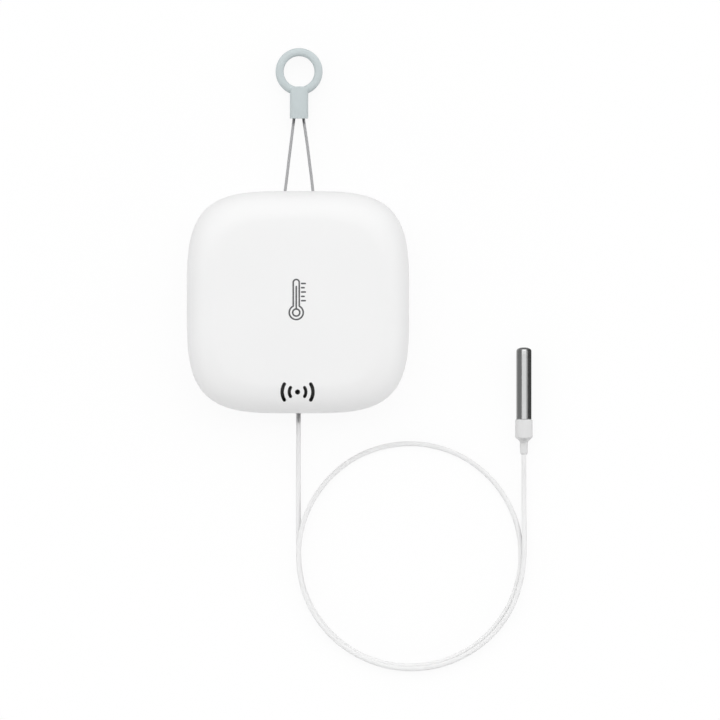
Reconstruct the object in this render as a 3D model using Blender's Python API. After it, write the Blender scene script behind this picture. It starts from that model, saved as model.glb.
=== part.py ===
"""Temperature sensor with a wired probe: puck housing, hanging ring, lead and probe.

It lies on its back. The origin is the centre of the rear face, +Y points to the
hanging ring and +Z out of the front. All sizes are in metres.
"""

import math

import bmesh
import bpy
import numpy as np
from mathutils import Matrix, Vector

MM = 0.001

# Clearance between pieces that touch
GAP = 0.3 * MM

# Housing outline and section. It is square, with room past the battery holder's ends and sides.
END_ROOM = 4.45 * MM
SIDE_ROOM = 17.55 * MM
OUTLINE_POWER = 3.8
OUTLINE_SEGMENTS = 60
ROLL_STEPS = 6
TUCK_STEPS = (0.0, 0.04, 0.17, 0.42, 0.7)
CAVITY_ROLL_STEPS = 4
WALL = 2.2 * MM
WIDEST_HEIGHT = 9.0 * MM
ROLL_WIDTH = 8.0 * MM
CROWN = 1.2 * MM
HEADROOM = 3.6 * MM
REAR_TUCK = 5.0 * MM
PARTING_HEIGHT = 6.5 * MM
REAR_FLOOR = 2.0 * MM
REAR_WALL = 3.0 * MM
LIP_WIDTH = 0.8 * MM
LIP_HEIGHT = 1.5 * MM
SEAL_HEIGHT = 1.3 * MM

# Housing screws and their bosses
SCREW_INSET = 12.5 * MM
SCREW_RADIUS = 1.0 * MM
SCREW_LENGTH = 11.0 * MM
SCREW_HEAD_RADIUS = 1.8 * MM
SCREW_HEAD_HEIGHT = 1.2 * MM
SCREW_HEAD_DEPTH = 0.4 * MM
SCREW_HEAD_EDGE = 0.2 * MM
SCREW_TIP_RADIUS = 0.3 * MM
SCREW_SLOT_WIDTH = 0.5 * MM
BOSS_RADIUS = 2.5 * MM
BOSS_LEDGE_RADIUS = 3.6 * MM
BOSS_ROOT_DEPTH = 0.5 * MM
PILLAR_RADIUS = 3.1 * MM
PILLAR_HEIGHT = 6.8 * MM

# Vent slots in the front: a dot between two pairs of arcs
VENT_INSET = 5.75 * MM
VENT_DOT_RADIUS = 0.69 * MM
VENT_ARCS = ((2.24 * MM, 0.84 * MM, 32.0), (4.16 * MM, 0.92 * MM, 31.0))
VENT_ARC_STEPS = 8
GAUZE_HALF_WIDTH = 5.4 * MM
GAUZE_MARGIN = 0.2 * MM
GAUZE_THICKNESS = 0.5 * MM

# Lanyard: a wire loop from the ring's sleeve round a post inside the housing.
# The route's points are (X, Y, Z) in millimetres, with Y from the housing's top edge.
LANYARD_DIAMETER = 0.78 * MM
LANYARD_POINTS = 40
LANYARD_HOLE_X = 3.8 * MM
LANYARD_HOLE_RADIUS = 0.85 * MM
LANYARD_HEIGHT = 4.5 * MM
POST_INSET = 6.7 * MM
POST_RADIUS = 3.3 * MM
LANYARD_ROUTE = (
    (-0.80, 22.2, 2.42), (-1.10, 19.5, 2.50), (-1.62, 15.2, 2.95), (-2.14, 11.0, 3.58),
    (-2.62, 7.0, 4.05), (-3.10, 3.0, 4.38), (-3.56, -0.7, 4.50), (-3.92, -4.0, 4.50),
    (-4.05, -6.7, 4.50), (-2.80, -9.8, 4.50), (0.27, -11.0, 4.50), (3.34, -9.8, 4.50),
    (4.57, -6.7, 4.50), (4.45, -4.0, 4.50), (4.10, -0.7, 4.50), (3.70, 3.0, 4.38),
    (3.20, 7.0, 4.05), (2.70, 11.0, 3.58), (2.12, 15.2, 2.95), (1.50, 19.5, 2.50),
    (1.20, 22.2, 2.42),
)

# Hanging ring with its sleeve
RING_X = 0.29 * MM
RING_TUCK = 1.26 * MM
RING_RADIUS = 5.25 * MM
RING_SECTION_RADIUS = 1.1 * MM
RING_STEPS = 36
RING_SECTION_STEPS = 12
SLEEVE_REACH = 19.58 * MM
SLEEVE_LENGTH = 8.69 * MM
SLEEVE_RADIUS = 2.48 * MM
SLEEVE_CHAMFER = 0.3 * MM
SLEEVE_BORE_RADIUS = 1.95 * MM
SLEEVE_BORE_DEPTH = 3.1 * MM

# Lead: out of the bottom of the housing, one and a half turns, up to the probe.
# The route's points are (X, Y, Z) in millimetres, with Y from the housing's bottom edge.
LEAD_DIAMETER = 1.3 * MM
LEAD_POINTS = 80
LEAD_EXIT_HEIGHT = 4.2 * MM
LEAD_EXIT_X = 0.15 * MM
LEAD_ROUTE = (
    (0.15, 0.0, 4.20), (0.15, -3.5, 4.02), (0.14, -8.0, 3.20), (0.13, -13.0, 2.00),
    (0.12, -18.0, 1.10), (0.12, -23.0, 0.72), (0.13, -28.0, 0.66), (0.14, -33.0, 0.66),
    (0.20, -38.2, 0.66), (1.22, -46.0, 0.66), (4.22, -53.2, 0.66), (15.20, -64.2, 0.66),
    (30.20, -68.2, 0.66), (45.20, -64.2, 0.66), (56.18, -53.2, 0.66), (60.20, -38.2, 0.66),
    (56.18, -23.2, 0.66), (45.20, -12.2, 0.67), (30.20, -8.2, 0.69), (15.20, -12.2, 0.76),
    (8.99, -17.0, 1.04), (4.22, -23.2, 1.58), (1.22, -30.4, 2.05), (0.15, -38.4, 2.16),
    (1.12, -46.4, 2.16), (4.16, -53.8, 2.12), (15.32, -64.9, 2.05), (30.56, -69.0, 1.94),
    (45.80, -64.9, 1.84), (56.96, -53.8, 1.82), (61.04, -38.5, 1.86), (61.08, -33.0, 1.50),
    (61.04, -27.5, 0.95), (61.00, -22.0, 0.86), (61.00, -17.5, 1.45), (61.00, -14.2, 2.14),
    (61.00, -11.5, 2.34),
)

# Grommet that holds the lead in the bottom wall
GROMMET_RADIUS = 1.35 * MM
GROMMET_FLANGE_RADIUS = 2.1 * MM
GROMMET_FLANGE = 1.0 * MM
GROMMET_EDGE = 0.15 * MM

# Probe at the end of the lead
PROBE_X = 61.0 * MM
BOOT_TAIL_REACH = 11.2 * MM
BOOT_TAIL_RADIUS = 1.0 * MM
BOOT_RELIEF_RADIUS = 1.22 * MM
BOOT_RELIEF_LENGTH = 3.9 * MM
BOOT_SHOULDER_LENGTH = 0.9 * MM
BOOT_COLLAR_RADIUS = 2.34 * MM
BOOT_COLLAR_LENGTH = 4.85 * MM
BOOT_EDGE = 0.4 * MM
SHEATH_RADIUS = 2.03 * MM
SHEATH_WALL = 0.35 * MM
SHEATH_VISIBLE = 19.4 * MM
SHEATH_EDGE = 1.0 * MM
SHEATH_TIP_POWER = 2.7
SHEATH_TIP_STEPS = 5
NECK_RADIUS = 1.6 * MM
NECK_LENGTH = 4.0 * MM
RESIN_LENGTH = 12.0 * MM
RESIN_END_WALL = 1.0 * MM
BEAD_RADIUS = 0.75 * MM
BEAD_LENGTH = 3.2 * MM
CORES_RADIUS = 0.45 * MM

# Battery holder, cells and their contacts
CELL_RADIUS = 5.25 * MM
CELL_LENGTH = 44.5 * MM
CELL_NUB_RADIUS = 1.9 * MM
CELL_NUB_LENGTH = 0.8 * MM
CELL_EDGE = 0.3 * MM
CELL_GAP = 1.0 * MM
HOLDER_WALL = 1.1 * MM
HOLDER_BASE = 0.8 * MM
HOLDER_CLEARANCE = 1.2 * MM
HOLDER_NOTCH_HALF = 8.0 * MM
HOLDER_NOTCH_DEPTH = 4.3 * MM
CONTACT_THICKNESS = 0.4 * MM
CONTACT_HALF = 4.0 * MM
SPRING_LENGTH = 2.1 * MM
SPRING_WIRE = 0.45 * MM
SPRING_WIDE = 3.3 * MM
SPRING_NARROW = 1.9 * MM
SPRING_TURNS = 2.5
SPRING_TURN_POINTS = 10

# Circuit board and what it carries
BOARD_THICKNESS = 1.0 * MM
BOARD_INSET_X = 5.5 * MM
BOARD_INSET_Y = 7.5 * MM
BOARD_POWER = 6.0
BOARD_SEGMENTS = 40
SHIELD_SIZE = (13.0 * MM, 11.0 * MM, 2.0 * MM)
SHIELD_PLACE = (-11.5 * MM, 7.5 * MM)
ANTENNA_SIZE = (8.0 * MM, 2.0 * MM, 1.2 * MM)
ANTENNA_PLACE = (-7.0 * MM, 17.5 * MM)
CHIP_SIZE = (6.0 * MM, 6.0 * MM, 0.9 * MM)
CHIP_PLACE = (5.0 * MM, 3.0 * MM)
CRYSTAL_SIZE = (3.2 * MM, 1.5 * MM, 0.9 * MM)
CRYSTAL_PLACE = (5.0 * MM, 9.5 * MM)
CAPACITOR_SIZE = (3.5 * MM, 2.8 * MM, 1.9 * MM)
CAPACITOR_PLACE = (13.0 * MM, -3.0 * MM)
AIR_SENSOR_SIZE = (2.5 * MM, 2.5 * MM, 0.9 * MM)
AIR_SENSOR_INSET = 11.0 * MM

# Connector of the lead on the rear of the board
HEADER_SIZE = (7.0 * MM, 5.0 * MM, 3.6 * MM)
HEADER_INSET = 12.0 * MM
HEADER_WALL = 0.7 * MM
PLUG_STAND_OUT = 0.6 * MM
TAIL_POINTS = 10

ROUND_SEGMENTS = 24
SMALL_SEGMENTS = 16

# Places that follow from the sizes above
CELL_SPACING = 2 * CELL_RADIUS + CELL_GAP
HOLDER_REAR = REAR_FLOOR + HOLDER_CLEARANCE
CELL_HEIGHT = REAR_FLOOR + GAP + CELL_RADIUS
HOLDER_FLOOR = CELL_HEIGHT + CELL_RADIUS + GAP
HOLDER_TOP = HOLDER_FLOOR + HOLDER_BASE
CONTACT_X = (CELL_LENGTH + SPRING_LENGTH + 3 * GAP) / 2
HOLDER_POCKET_X = CONTACT_X + CONTACT_THICKNESS + GAP
HOLDER_HALF_X = HOLDER_POCKET_X + HOLDER_WALL
HOLDER_HALF_Y = CELL_SPACING / 2 + CELL_RADIUS + GAP + HOLDER_WALL
HALF_WIDTH = max(HOLDER_HALF_X + END_ROOM, HOLDER_HALF_Y + SIDE_ROOM)
FACE_HALF = HALF_WIDTH - ROLL_WIDTH
CAVITY_HALF = HALF_WIDTH - REAR_WALL
BOARD_HALF_X = HALF_WIDTH - BOARD_INSET_X
BOARD_HALF_Y = HALF_WIDTH - BOARD_INSET_Y
BOARD_REAR = HOLDER_TOP + GAP
BOARD_FRONT = BOARD_REAR + BOARD_THICKNESS
FRONT_HEIGHT = BOARD_FRONT + HEADROOM + WALL
ROLL_HEIGHT = FRONT_HEIGHT - WIDEST_HEIGHT - CROWN
SCREW_OFFSET = HALF_WIDTH - SCREW_INSET
VENT_Y = VENT_INSET - HALF_WIDTH
AIR_SENSOR_PLACE = (0.0, AIR_SENSOR_INSET - HALF_WIDTH)
HEADER_Y = HEADER_INSET - HALF_WIDTH
POST_Y = HALF_WIDTH - POST_INSET
SLEEVE_BOTTOM_Y = HALF_WIDTH + SLEEVE_REACH
SLEEVE_TOP_Y = SLEEVE_BOTTOM_Y + SLEEVE_LENGTH
RING_Y = SLEEVE_TOP_Y + RING_RADIUS - RING_TUCK
GROMMET_OUTER_Y = GAP - HALF_WIDTH
BOOT_TAIL_Y = -HALF_WIDTH - BOOT_TAIL_REACH
BOOT_COLLAR_Y = BOOT_TAIL_Y + BOOT_RELIEF_LENGTH + BOOT_SHOULDER_LENGTH
BOOT_TOP_Y = BOOT_COLLAR_Y + BOOT_COLLAR_LENGTH
PROBE_HEIGHT = BOOT_COLLAR_RADIUS
TONGUE_WIDTH = WALL - LIP_WIDTH - GAP
COVER_RIM = PARTING_HEIGHT - GAP / 2
SHELL_RIM = PARTING_HEIGHT + GAP / 2
LIP_TOP = COVER_RIM + LIP_HEIGHT
SEAL_TOP = LIP_TOP + GAP + SEAL_HEIGHT
SHAFT_HOLE_RADIUS = SCREW_RADIUS + GAP
HEAD_TOP = SCREW_HEAD_DEPTH + SCREW_HEAD_HEIGHT

FINISHES = {
    "shell_white": ((0.87, 0.87, 0.87), 0.45, 0.0),
    "cover_white": ((0.84, 0.84, 0.84), 0.5, 0.0),
    "seal_rubber": ((0.25, 0.26, 0.27), 0.7, 0.0),
    "ring_silicone": ((0.61, 0.67, 0.68), 0.6, 0.0),
    "lanyard_wire": ((0.42, 0.42, 0.43), 0.45, 0.3),
    "lead_white": ((0.82, 0.82, 0.82), 0.5, 0.0),
    "boot_white": ((0.74, 0.74, 0.74), 0.5, 0.0),
    "sheath_steel": ((0.55, 0.54, 0.53), 0.3, 1.0),
    "screw_steel": ((0.6, 0.6, 0.6), 0.35, 1.0),
    "contact_nickel": ((0.7, 0.69, 0.66), 0.3, 1.0),
    "cell_wrap": ((0.10, 0.11, 0.12), 0.35, 0.0),
    "holder_black": ((0.03, 0.03, 0.03), 0.55, 0.0),
    "board_green": ((0.02, 0.16, 0.07), 0.45, 0.0),
    "shield_tin": ((0.68, 0.68, 0.66), 0.35, 1.0),
    "chip_black": ((0.02, 0.02, 0.02), 0.4, 0.0),
    "ceramic_tan": ((0.55, 0.42, 0.25), 0.5, 0.0),
    "gauze_black": ((0.02, 0.02, 0.02), 0.8, 0.0),
    "header_cream": ((0.75, 0.70, 0.58), 0.5, 0.0),
    "resin_amber": ((0.35, 0.16, 0.04), 0.25, 0.0),
}


def clear_scene():
    """Take every object out of the file, and the materials that an earlier run made."""
    for item in list(bpy.data.objects):
        bpy.data.objects.remove(item, do_unlink=True)
    for name in FINISHES:
        if name in bpy.data.materials:
            bpy.data.materials.remove(bpy.data.materials[name])


def finish(name):
    """The material of that name, made when it is first asked for."""
    if name not in bpy.data.materials:
        colour, roughness, metallic = FINISHES[name]
        made = bpy.data.materials.new(name)
        made.use_nodes = True
        shader = made.node_tree.nodes["Principled BSDF"]
        shader.inputs["Base Color"].default_value = (*colour, 1.0)
        shader.inputs["Roughness"].default_value = roughness
        shader.inputs["Metallic"].default_value = metallic
    return bpy.data.materials[name]


def add_object(name, data, finish_name):
    """Link an object with that mesh or curve and finish."""
    made = bpy.data.objects.new(name, data)
    bpy.context.scene.collection.objects.link(made)
    if finish_name:
        data.materials.append(finish(finish_name))
    return made


def add_mesh(name, shape, finish_name, sharp=35.0):
    """Turn a bmesh into an object with its faces out, smooth up to the sharp angle."""
    bmesh.ops.recalc_face_normals(shape, faces=shape.faces)
    mesh = bpy.data.meshes.new(name)
    shape.to_mesh(mesh)
    shape.free()
    mesh.shade_smooth()
    mesh.set_sharp_from_angle(angle=math.radians(sharp))
    return add_object(name, mesh, finish_name)


def combine(target, tool, operation):
    """Apply a Boolean with the tool to the target, and take the tool away."""
    modifier = target.modifiers.new(operation.lower(), "BOOLEAN")
    modifier.operation = operation
    modifier.solver = "EXACT"
    modifier.object = tool
    graph = bpy.context.evaluated_depsgraph_get()
    mesh = bpy.data.meshes.new_from_object(target.evaluated_get(graph))
    target.modifiers.clear()
    old = target.data
    mesh.name = old.name
    target.data = mesh
    bpy.data.meshes.remove(old)
    bpy.data.objects.remove(tool, do_unlink=True)
    mesh.shade_smooth()
    mesh.set_sharp_from_angle(angle=math.radians(35.0))


def cut(target, shape):
    """Cut a bmesh out of the target."""
    combine(target, add_mesh("cutter", shape, None), "DIFFERENCE")


def join(target, shape):
    """Join a bmesh to the target."""
    combine(target, add_mesh("addition", shape, None), "UNION")


def loft(rings):
    """Closed bmesh through rings of points; a ring of one point closes an end."""
    shape = bmesh.new()
    rows = [[shape.verts.new(point) for point in ring] for ring in rings]
    for row, after in zip(rows, rows[1:]):
        count = max(len(row), len(after))
        for i in range(count):
            j = (i + 1) % count
            corners = [row[i % len(row)], row[j % len(row)], after[j % len(after)], after[i % len(after)]]
            shape.faces.new(list(dict.fromkeys(corners)))
    for row in (rows[0], rows[-1]):
        if len(row) > 1:
            shape.faces.new(row)
    return shape


def outline_ring(half_x, half_y, height, power=OUTLINE_POWER, segments=OUTLINE_SEGMENTS):
    """One ring of a rounded square at a height, or its centre point at half size 0."""
    if half_x == 0:
        return [Vector((0, 0, height))]
    ring = []
    for i in range(segments):
        angle = 2 * math.pi * i / segments
        along, across = math.cos(angle), math.sin(angle)
        reach = (abs(along) ** power + abs(across) ** power) ** (-1 / power)
        ring.append(Vector((half_x * reach * along, half_y * reach * across, height)))
    return ring


def turned(profile, segments=ROUND_SEGMENTS):
    """Closed bmesh turned about Z from (radius, height) pairs."""
    rings = []
    for radius, height in profile:
        if radius == 0:
            rings.append([Vector((0, 0, height))])
            continue
        angles = [2 * math.pi * i / segments for i in range(segments)]
        rings.append([Vector((radius * math.cos(a), radius * math.sin(a), height)) for a in angles])
    return loft(rings)


def rod(radius, start, end, segments=ROUND_SEGMENTS):
    """Turned rod along Z from one height to another."""
    return turned([(0, start), (radius, start), (radius, end), (0, end)], segments)


def block(x_range, y_range, z_range):
    """Closed block between the given limits."""
    (x0, x1), (y0, y1), (z0, z1) = x_range, y_range, z_range
    outline = ((x0, y0), (x1, y0), (x1, y1), (x0, y1))
    return loft([[Vector((x, y, z)) for x, y in outline] for z in (z0, z1)])


def moved(shape, x=0.0, y=0.0, z=0.0, turn=None):
    """Turn a bmesh about an axis through the origin, then move it."""
    matrix = Matrix.Translation((x, y, z))
    if turn:
        angle, axis = turn
        matrix = matrix @ Matrix.Rotation(math.radians(angle), 4, axis)
    bmesh.ops.transform(shape, matrix=matrix, verts=shape.verts)
    return shape


UP_TO_Y = (-90.0, "X")
UP_TO_X = (90.0, "Y")


def smooth_points(route, count, start_y=0.0):
    """Points at equal spacing along a smooth curve through the route's points.

    The curve is a natural cubic spline over the distance between the points,
    and their Y is from start_y.
    """
    knots = np.array(route, float) * MM + np.array((0.0, start_y, 0.0))
    steps = np.linalg.norm(np.diff(knots, axis=0), axis=1)
    at = np.concatenate([[0.0], np.cumsum(steps)])
    size = len(knots)
    system = np.eye(size)
    right = np.zeros((size, 3))
    for i in range(1, size - 1):
        before, after = steps[i - 1], steps[i]
        system[i, i - 1 : i + 2] = (before, 2 * (before + after), after)
        slope_after = (knots[i + 1] - knots[i]) / after
        slope_before = (knots[i] - knots[i - 1]) / before
        right[i] = 6 * (slope_after - slope_before)
    bend = np.linalg.solve(system, right)

    def point(distance):
        """Point of the spline at a distance along its chords."""
        i = min(max(int(np.searchsorted(at, distance)) - 1, 0), size - 2)
        step = steps[i]
        left, ahead = at[i + 1] - distance, distance - at[i]
        straight = (knots[i] * left + knots[i + 1] * ahead) / step
        curve = bend[i] * (left**3 / step - step * left) + bend[i + 1] * (ahead**3 / step - step * ahead)
        return straight + curve / 6

    fine = np.array([point(d) for d in np.linspace(0, at[-1], 40 * count)])
    travelled = np.concatenate([[0.0], np.cumsum(np.linalg.norm(np.diff(fine, axis=0), axis=1))])
    wanted = np.linspace(0, travelled[-1], count)
    return np.stack([np.interp(wanted, travelled, fine[:, k]) for k in range(3)], axis=1)


def tube(name, points, diameter, finish_name, resolution=2):
    """Curve object with a round bevel and filled caps through the points."""
    curve = bpy.data.curves.new(name, "CURVE")
    curve.dimensions = "3D"
    curve.bevel_depth = diameter / 2
    curve.bevel_resolution = resolution
    curve.use_fill_caps = True
    spline = curve.splines.new("POLY")
    spline.points.add(len(points) - 1)
    for target, point in zip(spline.points, points):
        target.co = (*point, 1.0)
    return add_object(name, curve, finish_name)


def tuck_half(height):
    """Half size of the housing's outside below its widest height."""
    below = (WIDEST_HEIGHT - height) / WIDEST_HEIGHT
    return HALF_WIDTH - REAR_TUCK * (1 - math.sqrt(max(0.0, 1 - below**2)))


def front_height(half, inset=0.0):
    """Height of the front at a half size, pushed in by the inset."""
    beyond = min(max(half - FACE_HALF, 0.0) / (ROLL_WIDTH - inset), 1.0)
    crown = CROWN * (1 - (half / (HALF_WIDTH - inset)) ** 2)
    return WIDEST_HEIGHT + (ROLL_HEIGHT - inset) * math.sqrt(1 - beyond**2) + crown


def front_half(x, y):
    """Half size of the rounded square that passes through a point of the plan."""
    return (abs(x) ** OUTLINE_POWER + abs(y) ** OUTLINE_POWER) ** (1 / OUTLINE_POWER)


def roll_halves(inset, first_degrees, steps):
    """Half sizes down the rolled edge, from the face to the side."""
    angles = [math.radians(90 + (first_degrees - 90) * i / steps) for i in range(steps + 1)]
    return [FACE_HALF + (ROLL_WIDTH - inset) * math.cos(angle) for angle in angles]


def section_rings(section):
    """Rings of the housing's outline from (half size, height) pairs."""
    return [outline_ring(half, half, height) for half, height in section]


def polar(radius, angle):
    """Point of the plan at a distance and an angle from the origin."""
    return Vector((radius * math.cos(angle), radius * math.sin(angle)))


def vent_reach():
    """How far the outer arcs reach from the dot toward the housing's bottom edge."""
    radius, width, half_degrees = VENT_ARCS[-1]
    return radius * math.sin(math.radians(half_degrees)) + width / 2


def vent_bottom():
    """Height just inside the front's inner surface at the slots' lowest place."""
    return front_height(vent_reach() - VENT_Y, WALL) - GAP


def vent_arc(radius, width, half_degrees, side):
    """Cutter for one arc slot with round ends, on one side of the dot."""
    end = math.radians(half_degrees)
    turns = [end * (2 * i / VENT_ARC_STEPS - 1) for i in range(VENT_ARC_STEPS + 1)]
    caps = [math.pi / 4 * i for i in (1, 2, 3)]
    edge = [polar(radius + width / 2, angle) for angle in turns]
    edge += [polar(radius, end) + polar(width / 2, end + cap) for cap in caps]
    edge += [polar(radius - width / 2, angle) for angle in turns[::-1]]
    edge += [polar(radius, -end) + polar(width / 2, math.pi - end + cap) for cap in caps]
    heights = (vent_bottom(), FRONT_HEIGHT + WALL)
    return moved(loft([[Vector((side * p.x, p.y, z)) for p in edge] for z in heights]), y=VENT_Y)


def screw_places():
    """Centres of the four housing screws in the plan."""
    return [(x * SCREW_OFFSET, y * SCREW_OFFSET) for y in (1, -1) for x in (-1, 1)]


def make_front_shell():
    """Front half of the housing: rolled edge, crowned face, vent slots and screw bosses."""
    rim_half = tuck_half(PARTING_HEIGHT)
    outside = [(half, front_height(half)) for half in roll_halves(0.0, 0.0, ROLL_STEPS)]
    inside = [(half, front_height(half, WALL)) for half in roll_halves(WALL, 12.0, CAVITY_ROLL_STEPS)]
    section = [(0, FRONT_HEIGHT), (FACE_HALF / 2, front_height(FACE_HALF / 2))] + outside
    section += [(rim_half, SHELL_RIM), (rim_half - TONGUE_WIDTH, SHELL_RIM)]
    section += [(rim_half - TONGUE_WIDTH, SEAL_TOP + GAP), (rim_half - WALL, SEAL_TOP + GAP)]
    section += inside[::-1] + [(0, front_height(0, WALL))]
    shell = add_mesh("front_shell", loft(section_rings(section)), "shell_white")
    root = front_height(front_half(SCREW_OFFSET, SCREW_OFFSET), WALL) + BOSS_ROOT_DEPTH
    for x, y in screw_places():
        ledge = BOARD_FRONT + GAP
        boss = turned([
            (0, root), (BOSS_LEDGE_RADIUS, root), (BOSS_LEDGE_RADIUS, ledge), (BOSS_RADIUS, ledge),
            (BOSS_RADIUS, PILLAR_HEIGHT + GAP), (0, PILLAR_HEIGHT + GAP),
        ])
        join(shell, moved(boss, x, y))
        pilot = rod(SHAFT_HOLE_RADIUS, PILLAR_HEIGHT, HEAD_TOP + SCREW_LENGTH + GAP, SMALL_SEGMENTS)
        cut(shell, moved(pilot, x, y))
    dot = rod(VENT_DOT_RADIUS, vent_bottom(), FRONT_HEIGHT + WALL, SMALL_SEGMENTS)
    cut(shell, moved(dot, y=VENT_Y))
    for arc in VENT_ARCS:
        for side in (-1, 1):
            cut(shell, vent_arc(*arc, side))
    return shell


def make_rear_cover():
    """Rear half of the housing: tucked-in side, sealing lip, screw pillars and lanyard post."""
    rim_half = tuck_half(PARTING_HEIGHT)
    lip_half = rim_half - TONGUE_WIDTH - GAP
    section = [(0, 0)] + [(tuck_half(COVER_RIM * share), COVER_RIM * share) for share in TUCK_STEPS]
    section += [(rim_half, COVER_RIM), (lip_half, COVER_RIM)]
    section += [(lip_half, LIP_TOP), (CAVITY_HALF, LIP_TOP), (CAVITY_HALF, REAR_FLOOR), (0, REAR_FLOOR)]
    cover = add_mesh("rear_cover", loft(section_rings(section)), "cover_white")
    for x, y in screw_places():
        join(cover, moved(rod(PILLAR_RADIUS, REAR_FLOOR / 2, PILLAR_HEIGHT), x, y))
        recess = turned([
            (0, -GAP), (SCREW_HEAD_RADIUS + GAP, -GAP), (SCREW_HEAD_RADIUS + GAP, HEAD_TOP + GAP),
            (SHAFT_HOLE_RADIUS, HEAD_TOP + GAP), (SHAFT_HOLE_RADIUS, PILLAR_HEIGHT + GAP),
            (0, PILLAR_HEIGHT + GAP),
        ], SMALL_SEGMENTS)
        cut(cover, moved(recess, x, y))
    join(cover, moved(rod(POST_RADIUS, REAR_FLOOR / 2, PILLAR_HEIGHT), y=POST_Y))
    for side in (-1, 1):
        hole = rod(LANYARD_HOLE_RADIUS, HALF_WIDTH - 2 * WALL, HALF_WIDTH + WALL, SMALL_SEGMENTS)
        cut(cover, moved(hole, side * LANYARD_HOLE_X, 0, LANYARD_HEIGHT, UP_TO_Y))
    hole = rod(GROMMET_RADIUS + GAP, -HALF_WIDTH - WALL, -HALF_WIDTH + 2 * WALL, SMALL_SEGMENTS)
    cut(cover, moved(hole, LEAD_EXIT_X, 0, LEAD_EXIT_HEIGHT, UP_TO_Y))
    return cover


def make_cover_gasket():
    """Rubber ring between the cover's lip and the shell's shoulder."""
    outer = tuck_half(PARTING_HEIGHT) - TONGUE_WIDTH - GAP
    inner = tuck_half(PARTING_HEIGHT) - WALL
    corners = ((outer, LIP_TOP + GAP), (outer, SEAL_TOP), (inner, SEAL_TOP), (inner, LIP_TOP + GAP))
    rings = section_rings(corners)
    shape = bmesh.new()
    rows = [[shape.verts.new(point) for point in ring] for ring in rings]
    for row, after in zip(rows, rows[1:] + rows[:1]):
        for i in range(OUTLINE_SEGMENTS):
            j = (i + 1) % OUTLINE_SEGMENTS
            shape.faces.new((row[i], row[j], after[j], after[i]))
    return add_mesh("cover_gasket", shape, "seal_rubber")


def make_cover_screws():
    """Four cross-head screws that share one mesh, heads sunk in the rear face."""
    tip = HEAD_TOP + SCREW_LENGTH
    profile = [
        (0, SCREW_HEAD_DEPTH), (SCREW_HEAD_RADIUS - SCREW_HEAD_EDGE, SCREW_HEAD_DEPTH),
        (SCREW_HEAD_RADIUS, SCREW_HEAD_DEPTH + SCREW_HEAD_EDGE), (SCREW_HEAD_RADIUS, HEAD_TOP),
        (SCREW_RADIUS, HEAD_TOP), (SCREW_RADIUS, tip - SCREW_RADIUS), (SCREW_TIP_RADIUS, tip), (0, tip),
    ]
    first = add_mesh("cover_screw_1", turned(profile, SMALL_SEGMENTS), "screw_steel")
    reach, half = SCREW_HEAD_RADIUS * 0.62, SCREW_SLOT_WIDTH / 2
    depth = (0, SCREW_HEAD_DEPTH + SCREW_HEAD_HEIGHT / 2)
    cut(first, block((-reach, reach), (-half, half), depth))
    cut(first, block((-half, half), (-reach, reach), depth))
    screws = [first] + [add_object(f"cover_screw_{i}", first.data, None) for i in (2, 3, 4)]
    for screw, (x, y) in zip(screws, screw_places()):
        screw.location = (x, y, 0)
    return screws


def make_vent_gauze():
    """Fine black gauze that follows the inside of the front behind the slots."""
    reach = vent_reach() + GAUZE_MARGIN
    ys = np.linspace(VENT_Y - reach, VENT_Y + reach, 7)
    xs = np.linspace(-GAUZE_HALF_WIDTH, GAUZE_HALF_WIDTH, 3)
    rings = []
    for y in ys:
        tops = [front_height(front_half(x, y), WALL) - 2 * GAP for x in xs]
        row = [Vector((x, y, top)) for x, top in zip(xs, tops)]
        row += [Vector((x, y, top - GAUZE_THICKNESS)) for x, top in zip(xs[::-1], tops[::-1])]
        rings.append(row)
    return add_mesh("vent_gauze", loft(rings), "gauze_black")


def make_hang_ring():
    """Ring and sleeve moulded as one, lying on the sleeve, with a hollow mouth for the wire."""
    profile = [
        (0, SLEEVE_BOTTOM_Y + SLEEVE_BORE_DEPTH), (SLEEVE_BORE_RADIUS, SLEEVE_BOTTOM_Y + SLEEVE_BORE_DEPTH),
        (SLEEVE_BORE_RADIUS, SLEEVE_BOTTOM_Y), (SLEEVE_RADIUS - SLEEVE_CHAMFER / 2, SLEEVE_BOTTOM_Y),
        (SLEEVE_RADIUS, SLEEVE_BOTTOM_Y + SLEEVE_CHAMFER), (SLEEVE_RADIUS, SLEEVE_TOP_Y - SLEEVE_CHAMFER),
        (SLEEVE_RADIUS - SLEEVE_CHAMFER, SLEEVE_TOP_Y), (0, SLEEVE_TOP_Y),
    ]
    sleeve = moved(turned(profile), RING_X, 0, SLEEVE_RADIUS, UP_TO_Y)
    piece = add_mesh("hang_ring", sleeve, "ring_silicone")
    ring = bmesh.new()
    rows = []
    turns = [2 * math.pi * k / RING_SECTION_STEPS for k in range(RING_SECTION_STEPS)]
    section = [polar(RING_SECTION_RADIUS, turn) for turn in turns]
    for i in range(RING_STEPS):
        angle = 2 * math.pi * i / RING_STEPS
        around = [(polar(RING_RADIUS + p.x, angle), p.y) for p in section]
        rows.append([ring.verts.new((flat.x, flat.y, height)) for flat, height in around])
    for row, after in zip(rows, rows[1:] + rows[:1]):
        for k in range(RING_SECTION_STEPS):
            n = (k + 1) % RING_SECTION_STEPS
            ring.faces.new((row[k], row[n], after[n], after[k]))
    join(piece, moved(ring, RING_X, RING_Y, SLEEVE_RADIUS))
    return piece


def make_lanyard():
    """Wire loop from the sleeve, through the top wall and round the post."""
    points = smooth_points(LANYARD_ROUTE, LANYARD_POINTS, HALF_WIDTH)
    return tube("lanyard", points, LANYARD_DIAMETER, "lanyard_wire")


def make_lead():
    """Lead from the grommet, round one and a half turns on the surface, to the probe's boot."""
    return tube("lead", smooth_points(LEAD_ROUTE, LEAD_POINTS, -HALF_WIDTH), LEAD_DIAMETER, "lead_white")


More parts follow.
